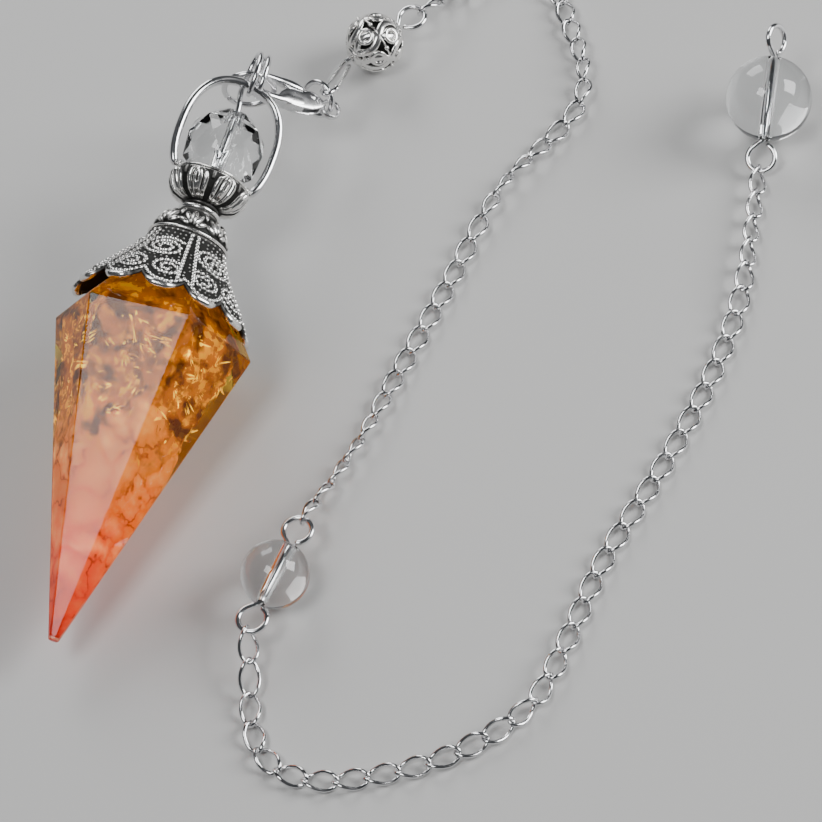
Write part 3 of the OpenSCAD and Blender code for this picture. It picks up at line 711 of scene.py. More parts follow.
def add_crackle(stone):
    """Fans of thin golden slivers between the clear surface and the inside."""
    fans = 420
    dice = random.Random(11)
    form = Form()
    for _ in range(fans):
        share = dice.random() ** 1.2 * 0.40 + 0.02
        z = -share * stone.point_length
        room = stone.width / 2 * (1 - share)
        radius = room * cos(pi / 6) - dice.uniform(0.75, 1.8) * MM
        around = dice.uniform(0, 2 * pi)
        out_way = heading(around)
        root = radius * out_way + Vector((0, 0, z))
        side = Vector((-out_way.y, out_way.x, 0))
        tilt = dice.uniform(0, 2 * pi)
        for _ in range(dice.randint(1, 5)):
            turn = tilt + dice.gauss(0, 0.28)
            way = cos(turn) * side + sin(turn) * UP
            way = (way + dice.gauss(0, 0.16) * out_way).normalized()
            across = way.cross(out_way).normalized()
            length = (0.25 + 2.2 * dice.random() ** 2.5) * MM
            width = dice.uniform(0.03, 0.12) * MM
            begin = root + dice.uniform(-0.4, 0.4) * MM * across
            bow = dice.uniform(-0.06, 0.06) * length
            left, right = [], []
            for t in shares(4):
                p = begin + t * length * way + 4 * t * (1 - t) * bow * across
                half = width * (0.35 + 2.6 * t * (1 - t)) * dice.uniform(0.7, 1.2)
                left.append(p + half * across)
                right.append(p - half * across + 0.3 * half * out_way)
            form.skin([left, right], closed_columns=False)
    make_piece("stone_crackle", form, "gold_fleck", place=laid(), sharp=0)


class PENDULUM_OT_stone(bpy.types.Operator):
    """Add the stone with its clouded inside and its gold crackle"""
    bl_idname = "pendulum.stone"
    bl_label = "Stone"

    def execute(self, context):
        stone = context.scene.pendulum_stone
        add_shell(stone)
        add_inside(stone)
        add_crackle(stone)
        return {"FINISHED"}


# Cap

class CapShape:
    """The cap's surfaces, upright on the pendant's length."""
    # Share of the bell's height, share of its spread
    bell_line = ((0, 1), (0.16, 0.86), (0.31, 0.68), (0.48, 0.47), (0.635, 0.29), (0.76, 0.16),
                 (0.88, 0.06), (1, 0))
    # Share of the cup's height, share of its half width
    cup_line = ((0, 0.4), (0.07, 0.6), (0.15, 0.76), (0.32, 0.88), (0.52, 0.96), (0.7, 1),
                (0.88, 0.97), (1, 0.9))
    scallop_turn = radians(15)
    # How far the ropes stand proud of the bell's wall
    relief = 0.30 * MM
    # Half the width of an ear's wire
    ear_wire = 0.32 * MM

    def __init__(self, cap):
        self.cap = cap
        self.rim_s = cap.rim_height
        self.rim_r = cap.rim_width / 2 - self.relief
        self.collar_r = cap.collar_width / 2
        self.collar_s = self.rim_s + cap.bell_height
        self.neck_s = self.collar_s + cap.dome_height
        self.neck_r = cap.neck_width / 2
        self.cup_s = self.neck_s + cap.neck_height
        self.cup_r = cap.cup_width / 2
        self.cup_top = self.cup_s + cap.cup_height
        self.cup_rim = 0.9 * self.cup_r
        self.ear_s = self.cup_top + 0.4 * MM
        self.step = 2 * pi / cap.scallops
        self.lobe_r = self.rim_r * sin(self.step / 2) * 1.28
        self.lobe_at = self.rim_r + 0.05 * MM - self.lobe_r

    def bell_r(self, s):
        share = (s - self.rim_s) / self.cap.bell_height
        return self.collar_r + (self.rim_r - self.collar_r) * look_up(self.bell_line, share)

    def rim_at(self, angle):
        """Height of the scalloped rim at an angle."""
        off = (angle - self.scallop_turn + self.step / 2) % self.step - self.step / 2
        reach = (self.lobe_at * cos(off) + sqrt(self.lobe_r ** 2 - (self.lobe_at * sin(off)) ** 2))
        share = (min(reach, self.rim_r) - self.collar_r) / (self.rim_r - self.collar_r)
        table = [(spread, height) for height, spread in reversed(self.bell_line)]
        return self.rim_s + self.cap.bell_height * look_up(table, share)

    def slope(self, s):
        """How far the bell widens for each step down."""
        step = 0.4 * MM
        return (self.bell_r(s - step) - self.bell_r(s + step)) / (2 * step)

    def on_bell(self, angle, s, out=0.0):
        """A place on the bell, or a little out from it."""
        slope = self.slope(s)
        length = hypot(1, slope)
        r = self.bell_r(s) + out / length
        return polar(r, angle, s + out * slope / length)

    def beside(self, angle, s, across, down):
        """Angle and height of a place on the bell, by its offsets from another place."""
        at = s - down / hypot(1, self.slope(s))
        return angle + across / self.bell_r(at), at


def cap_bell(form, shape):
    """The bell's thin wall with its scalloped edge and a polished lip."""
    columns = 288
    angles = [2 * pi * k / columns for k in range(columns)]
    rims = [shape.rim_at(a) for a in angles]
    half = shape.step / 2
    offs = [abs((a - shape.scallop_turn + half) % shape.step - half) / half for a in angles]
    polish = [0.2 + 0.8 * smoothstep(0.7, 0.45, off) for off in offs]
    # Share of the way up from the rim and offset from the surface: down inside, up outside
    inside = shape.relief - shape.cap.wall
    walls = [(0.72 * (1 - t), inside) for t in shares(8)] + [(t, 0.0) for t in shares(18)]
    rows, shine = [], []
    for t, out in walls:
        rows.append([shape.on_bell(a, rim + (shape.collar_s - rim) * t, out)
                     for a, rim in zip(angles, rims)])
        # The lowest row of the inside is the polished edge
        shine.extend(polish if t == 0 and out == inside else [0.0] * columns)
    form.skin(rows, shine)
    lip = [shape.on_bell(a, rim + 0.16 * MM, -0.12 * MM) for a, rim in zip(angles, rims)]
    sizes = [1.15 - 0.7 * smoothstep(0.25, 0.8, off) for off in offs]
    sides = 12
    form.tube(lip, 0.42 * MM, sides=sides, closed=True, sizes=sizes,
              shine=[bright for bright in polish for _ in range(sides)])


def cap_lace(form, shape):
    """Ropes of small slanted grains: spirals, rosettes, ribs and a border, and loose grains."""
    cap = shape.cap
    pitch = 0.64 * MM
    # Turn of a grain across its rope, and its half length, half width and height
    slant = 0.5
    grain = (0.42 * MM, 0.25 * MM, 0.36 * MM)
    taken = []

    def rope(pairs, size=1.0, hand=1):
        points = [shape.on_bell(angle, s) for angle, s in pairs]
        lengths = [0.0]
        for a, b in zip(points, points[1:]):
            lengths.append(lengths[-1] + (b - a).length)
        count = max(2, round(lengths[-1] / (pitch * size)))
        i = 0
        for k in range(count):
            at = lengths[-1] * (k + 0.5) / count
            while lengths[i + 1] < at:
                i += 1
            f = (at - lengths[i]) / (lengths[i + 1] - lengths[i])
            angle = pairs[i][0] + f * (pairs[i + 1][0] - pairs[i][0])
            s = pairs[i][1] + f * (pairs[i + 1][1] - pairs[i][1])
            p = shape.on_bell(angle, s, -0.04 * MM)
            out = (shape.on_bell(angle, s, 0.3 * MM) - p).normalized()
            along = square_to(points[i + 1] - points[i], out).normalized()
            way = cos(slant) * along + sin(slant) * hand * out.cross(along)
            form.grain(p, way, out, *[size * part for part in grain])
            taken.append(p)

    def spiral(angle, s, start, end, turns, wide, high, begin):
        pairs = []
        for t in shares(int(turns * 30)):
            a = begin + 2 * pi * turns * t
            r = start + (end - start) * t
            pairs.append(shape.beside(angle, s, wide * r * cos(a), high * r * sin(a)))
        rope(pairs)

    for k in range(cap.scallops):
        angle = shape.scallop_turn + k * shape.step
        hand = 1 if k % 2 else -1
        spiral(angle, shape.rim_s + 0.29 * cap.bell_height, start=0.35 * MM, end=1.75 * MM,
               turns=1.75, wide=hand * 1.15, high=0.95, begin=0.6)
    # A border that follows the scallops above the lip
    rope([(2 * pi * t, shape.rim_at(2 * pi * t) + 0.72 * MM) for t in shares(360)], size=0.95)
    rosette_s = shape.rim_s + 0.64 * cap.bell_height
    for k in range(cap.scallops // 2):
        angle = shape.scallop_turn + (k + 0.25) * 2 * shape.step
        spiral(angle, rosette_s, start=0.45 * MM, end=2.75 * MM, turns=2.5, wide=1.0, high=0.72,
               begin=2.4)
        rib = angle + shape.step
        for side in (-0.5, 0.5):
            pairs = []
            for t in shares(24):
                s = shape.collar_s - 0.4 * MM - t * (shape.collar_s - shape.rim_s - 1.9 * MM)
                pairs.append(shape.beside(rib, s, side * (0.75 + 1.1 * t) * MM, 0))
            rope(pairs, hand=2 * side)
    # Loose grains wherever no rope runs
    spacing, room = 0.72 * MM, 0.52 * MM
    dice = random.Random(5)
    rows = 17
    for i in range(rows):
        s = shape.rim_s + 0.9 * MM + (cap.bell_height - 1.3 * MM) * i / (rows - 1)
        count = int(2 * pi * shape.bell_r(s) / spacing)
        for k in range(count):
            angle = 2 * pi * (k + 0.5 * (i % 2) + dice.uniform(-0.15, 0.15)) / count
            if s < shape.rim_at(angle) + 0.9 * MM:
                continue
            p = shape.on_bell(angle, s, -0.05 * MM)
            if min((p - q).length for q in taken) < room:
                continue
            out = (shape.on_bell(angle, s, 0.3 * MM) - p).normalized()
            size = dice.uniform(0.13, 0.19) * MM
            form.grain(p, UP.cross(out).normalized(), out, size, size, size * 1.2, 0.45, 6)


def cap_dome(form, shape):
    """The collar, the dome with its fans of leaves, and the neck."""
    cap = shape.cap
    reach = shape.collar_r - 0.15 * MM - shape.neck_r

    def on_dome(angle, up, out=0.0):
        r = shape.neck_r + reach * cos(up) ** 1.25 + out * cos(up)
        return polar(r, angle, shape.collar_s + (cap.dome_height + out) * sin(up))

    outline = [on_dome(0, radians(84 * t)) for t in shares(24)]
    form.turned([(p.x, p.z) for p in outline], 96, 0.0)
    # Across and up from the leaf's foot, length, width, turn of each lobe in degrees
    lobes = ((0, 1.60, 1.15, 0.52, 0), (0.62, 1.20, 1.10, 0.44, 30),
             (-0.62, 1.20, 1.10, 0.44, -30), (1.05, 0.58, 0.80, 0.40, 62),
             (-1.05, 0.58, 0.80, 0.40, -62), (1.42, 2.1, 0.75, 0.26, 0))
    for k in range(cap.petals):
        angle = 2 * pi * (k + 0.4) / cap.petals
        for across, rise, length, width, turn in lobes:
            up = 0.14 + rise / 3.6
            at = angle + across * MM / (shape.neck_r + reach * cos(up))
            p = on_dome(at, up, -0.03 * MM)
            out = (on_dome(at, up, 0.3 * MM) - p).normalized()
            climb = square_to(on_dome(at, up + 0.05) - p, out).normalized()
            side = climb.cross(out)
            turn = radians(turn)
            way = cos(turn) * climb + sin(turn) * side
            form.grain(p, way, out, length * MM, width * MM, 0.42 * MM, 0.85, 12)
    # Height above the shoulder, radius, half height, half depth and brightness of each ring
    rings = ((shape.collar_s - 0.34 * MM, shape.collar_r - 0.02 * MM, 0.18, 0.22, 0.2),
             (shape.collar_s + 0.10 * MM, shape.collar_r + 0.04 * MM, 0.22, 0.30, 1.0),
             (shape.neck_s - 0.1 * MM, shape.neck_r + 0.32 * MM, 0.18, 0.22, 0.35),
             (shape.neck_s + 0.40 * MM, shape.neck_r + 0.20 * MM, 0.42, 0.50, 1.0),
             (shape.cup_s - 0.1 * MM, shape.neck_r - 0.02 * MM, 0.18, 0.22, 0.35))
    for s, r, high, deep, bright in rings:
        form.ring(UP * s, X, Y, r, high * MM, deep * MM, steps=96, sides=10, shine=bright)
    core = shape.neck_r - 0.1 * MM
    form.turned(((core, shape.neck_s - 0.4 * MM), (core, shape.cup_s + 0.3 * MM)), 64, 0.0)


def petal(off, up):
    """Relief and brightness of a lotus petal: off is 0 in its middle, 1 halfway to the next."""
    round_top = 0.86
    width = 0.0
    if up < round_top:
        width = 0.97 * sqrt(1 - (up / round_top) ** 3.2) * (0.70 + 0.30 * up / round_top)
    q = off / width if width > 0.02 else 9.0
    middle = sqrt(max(0.0, 1 - (q / 0.44) ** 2))
    slit = smoothstep(0.09, 0.03, q) * smoothstep(0.3, 0.42, up) * smoothstep(0.66, 0.54, up)
    beside = sqrt(max(0.0, 1 - ((q - 0.76) / 0.25) ** 2))
    height = middle * (1 - 0.7 * slit) + 0.8 * beside
    bright = smoothstep(0.15, 0.5, middle) * (1 - 0.8 * slit) + smoothstep(0.15, 0.5, beside)
    if q > 1.04:
        # A small raised spear in each dark triangle between two petals
        spear = smoothstep(0.16, 0.06, abs(1 - off)) * smoothstep(0.55, 0.62, up)
        spear *= smoothstep(0.92, 0.85, up)
        height += 0.5 * spear
        bright += 0.5 * spear
    return height, min(1.0, bright)


def cap_cup(form, shape):
    """The lotus cup: petals in relief, the rim band and the shallow seat inside."""
    cap = shape.cap
    columns = 384
    petal_turn = radians(1)
    relief, sunk = 0.42 * MM, 0.08 * MM
    rows, shine = [], []
    for up in shares(44):
        row = []
        for k in range(columns):
            angle = 2 * pi * k / columns
            part = ((angle - petal_turn) * cap.petals / (2 * pi) + 0.5) % 1 - 0.5
            height, bright = petal(abs(part) * 2, up)
            fade = smoothstep(0.0, 0.06, up) * smoothstep(0.97, 0.93, up)
            r = shape.cup_r * look_up(shape.cup_line, up) + (height * relief - sunk) * fade
            row.append(polar(r, angle, shape.cup_s + up * cap.cup_height))
            shine.append(bright * fade)
        rows.append(row)
    form.skin(rows, shine)
    rim_r, top = shape.cup_rim, shape.cup_top
    form.ring(UP * (top - 0.08 * MM), X, Y, rim_r - 0.02 * MM, 0.20 * MM, 0.28 * MM, steps=128)
    form.ring(UP * (top - 0.42 * MM), X, Y, rim_r + 0.12 * MM, 0.10 * MM, 0.14 * MM, steps=128,
              sides=8, shine=0.8)
    # Radius and depth under the rim
    bowl = ((2.9, 0.03), (2.3, 0.35), (1.2, 0.65), (0.45, 0.7))
    seat = [(rim_r, top - 0.05 * MM), (rim_r - 0.3 * MM, top - 0.02 * MM),
            *[(r * MM, top - depth * MM) for r, depth in bowl], (0.45 * MM, shape.neck_s)]
    columns = 96
    form.turned(seat, columns, [0.35] * columns * 3 + [0.15] * columns * 4)


def cap_ears(form, shape, hoop):
    """The two small ears on the rim that the hoop's ends go through."""
    turn = Matrix.Rotation(hoop.turn, 3, "Z")
    across, other = turn @ X, turn @ Y
    for side in (-1, 1):
        middle = across * side * 4.17 * MM + UP * shape.ear_s
        form.ring(middle, other, UP, 0.49 * MM, shape.ear_wire, 0.16 * MM, steps=32)


class PENDULUM_OT_cap(bpy.types.Operator):
    """Add the antiqued filigree cap with its lotus cup"""
    bl_idname = "pendulum.cap"
    bl_label = "Cap"

    def execute(self, context):
        shape = CapShape(context.scene.pendulum_cap)
        form = Form()
        for part in (cap_bell, cap_lace, cap_dome, cap_cup):
            part(form, shape)
        cap_ears(form, shape, context.scene.pendulum_hoop)
        make_piece("filigree_cap_cast", form, "antique_silver_cast", "filigree_cap",
                   place=seated())
        return {"FINISHED"}


# Wires

def add_wire(name, path, thickness, node, side=UP, place=None):
    """A round wire of bright silver."""
    form = Form()
    form.tube(path, thickness / 2, side=side, sides=14)
    make_piece(name, form, "bright_silver_wire", node, place=place)


# Hoop, faceted bead and its pin

class PENDULUM_OT_hoop(bpy.types.Operator):
    """Add the hoop over the faceted bead"""
    bl_idname = "pendulum.hoop"
    bl_label = "Hoop"

    def execute(self, context):
        hoop = context.scene.pendulum_hoop
        shape = CapShape(context.scene.pendulum_cap)
        ear_out = shape.cup_rim - 0.1 * MM + shape.ear_wire
        leg_x = ear_out + 0.55 * MM
        peg_s = shape.ear_s
        high = hoop.top - hoop.middle
        roundness = 0.83  # Under 1 the arch is squarer than an ellipse
        low_end = radians(33)  # How far the arch goes on below its widest place
        arc = []
        for t in shares(60):
            a = -low_end + t * (pi + 2 * low_end)
            x, z = squared(cos(a), roundness), squared(sin(a), roundness)
            arc.append(Vector((x * hoop.width / 2, 0, hoop.middle + z * high)))
        start = [Vector((ear_out - 0.5 * MM, 0, peg_s)), Vector((leg_x - 0.42 * MM, 0, peg_s)),
                 Vector((leg_x - 0.1 * MM, 0, peg_s + 0.12 * MM))]
        points = start + arc[1:-1] + [Vector((-p.x, p.y, p.z)) for p in reversed(start)]
        path = curve_through(points, 3)
        # The wire is thinner where it turns in through the ears
        sizes = []
        for p in path:
            inner = smoothstep(ear_out + 0.05 * MM, leg_x - 0.02 * MM, abs(p.x))
            low = smoothstep(peg_s + 0.9 * MM, peg_s + 0.2 * MM, p.z)
            sizes.append(1 - 0.42 * low * (1 - inner) - 0.06 * low)
        form = Form()
        form.tube(path, hoop.depth / 2, hoop.thickness / 2, side=Y, sides=18, sizes=sizes,
                  square=0.85)
        make_piece("hoop_wire", form, "bright_silver_wire", "hoop", place=seated(hoop.turn))
        return {"FINISHED"}


def add_faceted_bead(hoop, wire):
    """Flats in three rows with a table at each end, drilled through."""
    radius = hoop.bead_width / 2
    sides = 8
    form = Form()
    # Shares of the radius: height, width
    rings = ((-0.9, 0.436), (-0.5, 0.866), (0, 1), (0.5, 0.866), (0.9, 0.436))
    for i, (height, width) in enumerate(rings):
        form.add(circle(radius * width, radius * height, sides, i % 2 * pi / sides), [])
    for i in range(4):
        low = i * sides
        high = low + sides
        for k in range(sides):
            m = (k + 1) % sides
            if i % 2 == 0:
                form.faces += [(low + k, low + m, high + k), (low + m, high + m, high + k)]
            else:
                form.faces += [(low + k, high + m, high + k), (low + k, low + m, high + m)]
    form.faces += [tuple(reversed(range(sides))), tuple(range(4 * sides, 5 * sides))]
    place = seated() @ Matrix.Translation((0, 0, hoop.bead_height))
    piece = make_piece("faceted_bead_glass", bevelled(form, 0.07 * MM, 2), "clear_glass_bead",
                       "faceted_bead", place=place, sharp=radians(12))
    drill(piece, place, wire.bore / 2)


def add_coiled_pin(hoop, wire, cap):
    """Up through the bead, then twice round the top of the hoop."""
    shape = CapShape(cap)
    coil_a, coil_b = 2.6 * MM, 1.8 * MM
    pitch = 1.0 * MM
    turns = 1.85
    coil = []
    for t in shares(90):
        turn = turns * t
        a = radians(-70) + 2 * pi * turn
        z = hoop.coil_height + coil_a * sin(a)
        coil.append(Vector((pitch * (turn - 0.44), coil_b * cos(a), z)))
    stem = [UP * (shape.collar_s + 1.4 * MM), UP * (hoop.bead_height - 2 * MM),
            UP * (hoop.bead_height + hoop.bead_width / 2),
            Vector((coil[0].x * 0.8, coil[0].y * 0.3, hoop.top - 1.9 * MM))]
    path = curve_through(stem + [coil[0]], 10)[:-1] + coil
    add_wire("faceted_bead_pin", path, wire.pin, "bead_pin", side=X, place=seated(hoop.turn))


def drill(piece, place, radius):
    """Cuts a bore along the z axis of a place and keeps the cut glass smooth."""
    form = Form()
    reach = 20 * MM
    form.turned(((radius, -reach), (radius, reach)), 32, ends=True)
    tool_mesh = bpy.data.meshes.new("drill")
    tool_mesh.from_pydata([place @ p for p in form.points], [], form.faces)
    tool = bpy.data.objects.new("drill", tool_mesh)
    bpy.context.scene.collection.objects.link(tool)
    cut = piece.modifiers.new("bore", "BOOLEAN")
    cut.operation = "DIFFERENCE"
    cut.solver = "EXACT"
    cut.object = tool
    bpy.context.view_layer.update()
    graph = bpy.context.evaluated_depsgraph_get()
    made = bpy.data.meshes.new_from_object(piece.evaluated_get(graph))
    piece.modifiers.clear()
    piece.data = made
    made.set_sharp_from_angle(angle=radians(12))
    bpy.data.objects.remove(tool)


class PENDULUM_OT_faceted_bead(bpy.types.Operator):
    """Add the faceted glass bead and its coiled pin"""
    bl_idname = "pendulum.faceted_bead"
    bl_label = "Faceted bead"

    def execute(self, context):
        hoop = context.scene.pendulum_hoop
        wire = context.scene.pendulum_wire
        add_faceted_bead(hoop, wire)
        add_coiled_pin(hoop, wire, context.scene.pendulum_cap)
        return {"FINISHED"}


# Round beads and eye pins

def eye_path(start, x, y, reach, eye_r):
    """Half an eye pin: out from a bead's middle, then round an eye."""
    first, sweep = radians(130), radians(298)
    middle = reach + eye_r
    points = [start + (reach - 0.35 * eye_r) * x]
    for t in shares(40):
        a = first - t * sweep
        points.append(start + (middle + eye_r * cos(a)) * x + eye_r * sin(a) * y)
    return points


def add_round_bead(node, x, wire):
    """A ball with its bore, turned from one closed outline."""
    low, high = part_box(node)
    radius = (high.x - low.x) / 2
    bore = wire.bore / 2
    first = asin(bore / radius)
    outline = []
    for t in shares(56):
        a = first + (pi - 2 * first) * t
        outline.append((radius * sin(a), -radius * cos(a)))
    inner = 9
    for i in range(inner):
        outline.append((bore, radius * cos(first) * (1 - 2 * (i + 0.5) / inner)))
    form = Form()
    form.turned(outline, 72, closed_rows=True)
    place = place_along((low + high) / 2, x)
    make_piece(node + "_glass", form, "clear_glass_bead", node, place=place, sharp=radians(50))


def add_eye_pin(bead, node, x, free, wire):
    """A pin with an eye at each end of its bead, the outer eye turned by an angle."""
    low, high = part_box(bead)
    middle = (low + high) / 2
    reach = (high.x - low.x) / 2 + wire.pin / 2 + wire.gap
    y = UP.cross(x).normalized()
    free_y = cos(free) * y + sin(free) * x.cross(y)
    back = eye_path(middle, -x, y, reach, wire.eye / 2)[::-1]
    path = back + eye_path(middle, x, free_y, reach, wire.eye / 2)
    add_wire(node + "_wire", path, wire.pin, node)


class PENDULUM_OT_round_beads(bpy.types.Operator):
    """Add the two round glass beads on their eye pins"""
    bl_idname = "pendulum.round_beads"
    bl_label = "Round beads"

    def execute(self, context):
        wire = context.scene.pendulum_wire
        # Node of the bead, of its pin, heading, tilt and turn of the free eye, in degrees
        beads = (("middle_bead", "middle_pin", 83, 0, 0), ("end_bead", "end_pin", 94, 26, 62))
        for bead, pin, turn, tilt, free in beads:
            x = heading(radians(turn), radians(tilt))
            add_round_bead(bead, x, wire)
            add_eye_pin(bead, pin, x, radians(free), wire)
        return {"FINISHED"}


# Filigree bead

# The two directions of the jump ring's plane, which the pin's long eye pulls on
JUMP_RING_WAY = Vector((-0.84, 0.48, 0.24)).normalized()
JUMP_RING = (JUMP_RING_WAY, square_to(Vector((0.55, 0.3, 0.77)), JUMP_RING_WAY).normalized())
JUMP_RING_RADIUS = 2.1 * MM


def add_pierced_ball(middle, x, radius):
    """Bands and rings of flattened wire round a dark ball of painted shade inside."""
    def at(around, up, out=0.0):
        return (radius + out) * heading(around, up)

    def flat_ring(around, up, ring_r, half_width, half_depth, steps, shine):
        """A ring laid on the ball, its sizes in millimetres."""
        centre = at(around, up, out)
        out_way = centre.normalized()
        side = UP.cross(out_way).normalized()
        form.ring(centre, side, out_way.cross(side), ring_r * MM, half_width * MM, half_depth * MM,
                  steps=steps, sides=8, shine=shine)

    form = Form()
    out = -0.28 * MM
    columns = 6
    for k in range(columns):
        around = 2 * pi * k / columns
        for hand in (-1, 1):
            # A broad band in an S from pole to pole
            points = []
            for t in shares(40):
                up = radians(68 - 136 * t)
                points.append(at(around + hand * radians(19) * sin(2.6 * up), up, out))
            form.tube(points, 0.50 * MM, 0.22 * MM, side=points[0].cross(points[1]), sides=10,
                      normals=band_axes(points))
            # A small ring beside the band
            flat_ring(around + hand * radians(15), radians(hand * 24), 0.80, 0.22, 0.32, 28, 1.0)
        form.ball(at(around + pi / columns, 0, -0.2 * MM), 0.34 * MM, steps=5)
        for up in (46, -46):
            flat_ring(around + pi / columns, radians(up), 0.42, 0.15, 0.18, 20, 0.8)
    # A dark ball of painted shade inside, standing for the shadow seen through the holes
    form.ball(Vector(), radius - 0.75 * MM, steps=20, shine=0.0)
    # The little collar round the bore: radius and depth under the ball's top
    collar = ((0.55, 0.50), (0.62, 0.12), (1.0, 0.12), (1.35, 0.36), (1.3, 0.62), (0.55, 0.50))
    cuff = at(0, radians(66), -0.3 * MM)
    for side in (-1, 1):
        form.ring(UP * side * cuff.z, X, Y, cuff.x, 0.24 * MM, 0.30 * MM, steps=48, sides=10)
        form.turned([(r * MM, side * (radius - depth * MM)) for r, depth in collar], 48, 0.9)
    form.ring(Vector(), X, Y, radius - 0.22 * MM, 0.12 * MM, 0.16 * MM, steps=96, sides=8)
    make_piece("filigree_bead_lace", form, "antique_silver_cast", "filigree_bead",
               place=place_along(middle, x))


def band_axes(points):
    """Section axes that keep a band flat on the ball."""
    return [t.cross(p.normalized()).normalized() for p, t in zip(points, directions(points))]


def add_long_eye_pin(middle, x, radius, wire):
    """A long eye that pulls the jump ring, and a round eye that holds the chain."""
    ring_x, ring_y = JUMP_RING
    pull_angle = radians(112)
    pull_dir = cos(pull_angle) * ring_x + sin(pull_angle) * ring_y
    pull_at = middle_of("jump_ring") + JUMP_RING_RADIUS * pull_dir
    stem = middle - (radius + 0.6 * MM) * x
    pull = (pull_at - stem).normalized()
    eye_r = wire.eye / 2
    past = wire.ring / 2 + wire.pin / 2 + 1.5 * wire.gap
    far = (pull_at - stem).length + past - eye_r
    opening = pull_dir - 0.5 * pull_dir.cross(ring_x.cross(ring_y))
    opening = square_to(opening, pull).normalized()
    long_eye = [stem + 1.9 * MM * pull + 0.45 * eye_r * opening]
    for t in shares(9):
        a = radians(90 - 180 * t)
        long_eye.append(stem + (far + eye_r * cos(a)) * pull + eye_r * 0.52 * sin(a) * opening)
    long_eye.append(stem + 1.3 * MM * pull - 0.3 * eye_r * opening)
    reach = radius + wire.pin / 2 + wire.gap
    path = curve_through(long_eye + [stem], 4)[:-1] + [stem]
    path += eye_path(middle, x, UP.cross(x), reach, eye_r)
    add_wire("filigree_pin_wire", path, wire.pin, "filigree_pin")


class PENDULUM_OT_filigree_bead(bpy.types.Operator):
    """Add the pierced silver bead and its pin"""
    bl_idname = "pendulum.filigree_bead"
    bl_label = "Filigree bead"

    def execute(self, context):
        x = heading(radians(53))
        middle = middle_of("filigree_bead")
        radius = 3.7 * MM
        add_pierced_ball(middle, x, radius)
        add_long_eye_pin(middle, x, radius, context.scene.pendulum_wire)
        return {"FINISHED"}


# Clasp and its rings

CLASP_WAY = Vector((0.79, 0.19, -0.585)).normalized()
# The rivet in the clasp's own plane, from the middle of the claw
RIVET = Vector((5.28, 0.3, 0)) * MM


def loft(form, stations, lift=0.0):
    """A rounded bar through stations of place, half width and half thickness."""
    roundness = 0.55
    section = [(squared(q.x, roundness), squared(q.y, roundness)) for q in circle(1, 0, 20)]
    centre = curve_through([Vector((x, y, lift)) * MM for x, y, _, _ in stations], 6)
    across = curve_through([Vector((w, t, 0)) * MM for _, _, w, t in stations], 6)
    rows = []
    for p, half, t in zip(centre, across, directions(centre)):
        n = UP.cross(t)
        rows.append([p + half.x * wide * n + half.y * thick * UP for wide, thick in section])
    form.skin(rows, ends=True)


def disc(form, outline):
    """A disc about the rivet, from pairs of radius and height in millimetres."""
    form.turned([(max(r, 0.001) * MM, s * MM) for r, s in outline], 32, middle=RIVET)


def add_clasp_body(place):
    form = Form()
    # Place in the clasp's plane, half width, half thickness: the claw and the back
    loft(form, ((-1.76, 0.98, 0.30, 0.58), (-2.04, 0.60, 0.42, 0.78), (-2.15, 0.0, 0.45, 0.88),
                (-1.99, -0.65, 0.45, 0.90), (-1.55, -1.20, 0.45, 0.90), (-0.7, -1.5, 0.45, 0.90),
                (0.3, -1.5, 0.46, 0.90), (1.2, -1.38, 0.58, 0.90), (2.0, -1.05, 0.84, 0.90),
                (2.8, -1.02, 0.86, 0.90), (3.8, -0.94, 0.78, 0.90), (4.35, -0.88, 0.70, 0.86)))
    # The two cheeks on the sides of the lever, and the neck of the end eye
    for side in (-1, 1):
        loft(form, ((1.1, -1.38, 0.50, 0.19), (1.7, -0.98, 0.86, 0.20), (2.4, -0.70, 1.12, 0.20),
                    (3.2, -0.66, 1.14, 0.20), (4.0, -0.58, 1.14, 0.20), (5.2, -0.22, 1.28, 0.21),
                    (5.8, -0.18, 1.08, 0.21), (6.4, -0.14, 0.75, 0.20), (6.7, -0.10, 0.5, 0.18)),
             side * 0.67)
    loft(form, ((6.2, -0.42, 0.62, 0.70), (6.6, -0.24, 0.58, 0.60), (7.0, -0.05, 0.45, 0.42),
                (7.25, 0.0, 0.36, 0.36)))
    form.ring(8 * MM * X, X, Y, 1.15 * MM, 0.40 * MM, 0.25 * MM, steps=48, sides=12)
    head = [(0.30, 0.86), (0.34, 0.92), (0.33, 0.99), (0.2, 1.02), (0.0, 1.02)]
    for side in (-1, 1):
        disc(form, [(r, side * s) for r, s in head])
    make_piece("clasp_body_cast", form, "bright_silver_cast", "clasp_body", place=place,
               sharp=radians(40))


def add_clasp_lever(place):
    """The smooth pad that closes the mouth, on its knuckle between the cheeks."""
    form = Form()
    # The web that swings between the cheeks, and the thicker pad along its outer edge
    loft(form, ((5.1, 0.5, 0.46, 0.40), (4.5, 0.70, 0.52, 0.41), (3.9, 0.88, 0.58, 0.41),
                (3.2, 0.98, 0.60, 0.41), (2.4, 1.08, 0.56, 0.41), (1.7, 1.25, 0.42, 0.40)))
    loft(form, ((4.5, 1.14, 0.20, 0.40), (3.9, 1.20, 0.38, 0.58), (3.2, 1.30, 0.50, 0.66),
                (2.4, 1.40, 0.54, 0.66), (1.7, 1.46, 0.50, 0.62), (0.9, 1.49, 0.43, 0.56),
                (0.0, 1.48, 0.39, 0.54), (-0.8, 1.45, 0.35, 0.52), (-1.42, 1.38, 0.28, 0.46)))
    knuckle = [(0.34, -0.44), (0.80, -0.44), (0.85, -0.38), (0.85, 0.38), (0.80, 0.44),
               (0.34, 0.44), (0.34, -0.44)]
    disc(form, knuckle)
    make_piece("clasp_lever_cast", form, "bright_silver_cast", "clasp_lever", body="lever",
               place=place, sharp=radians(40))


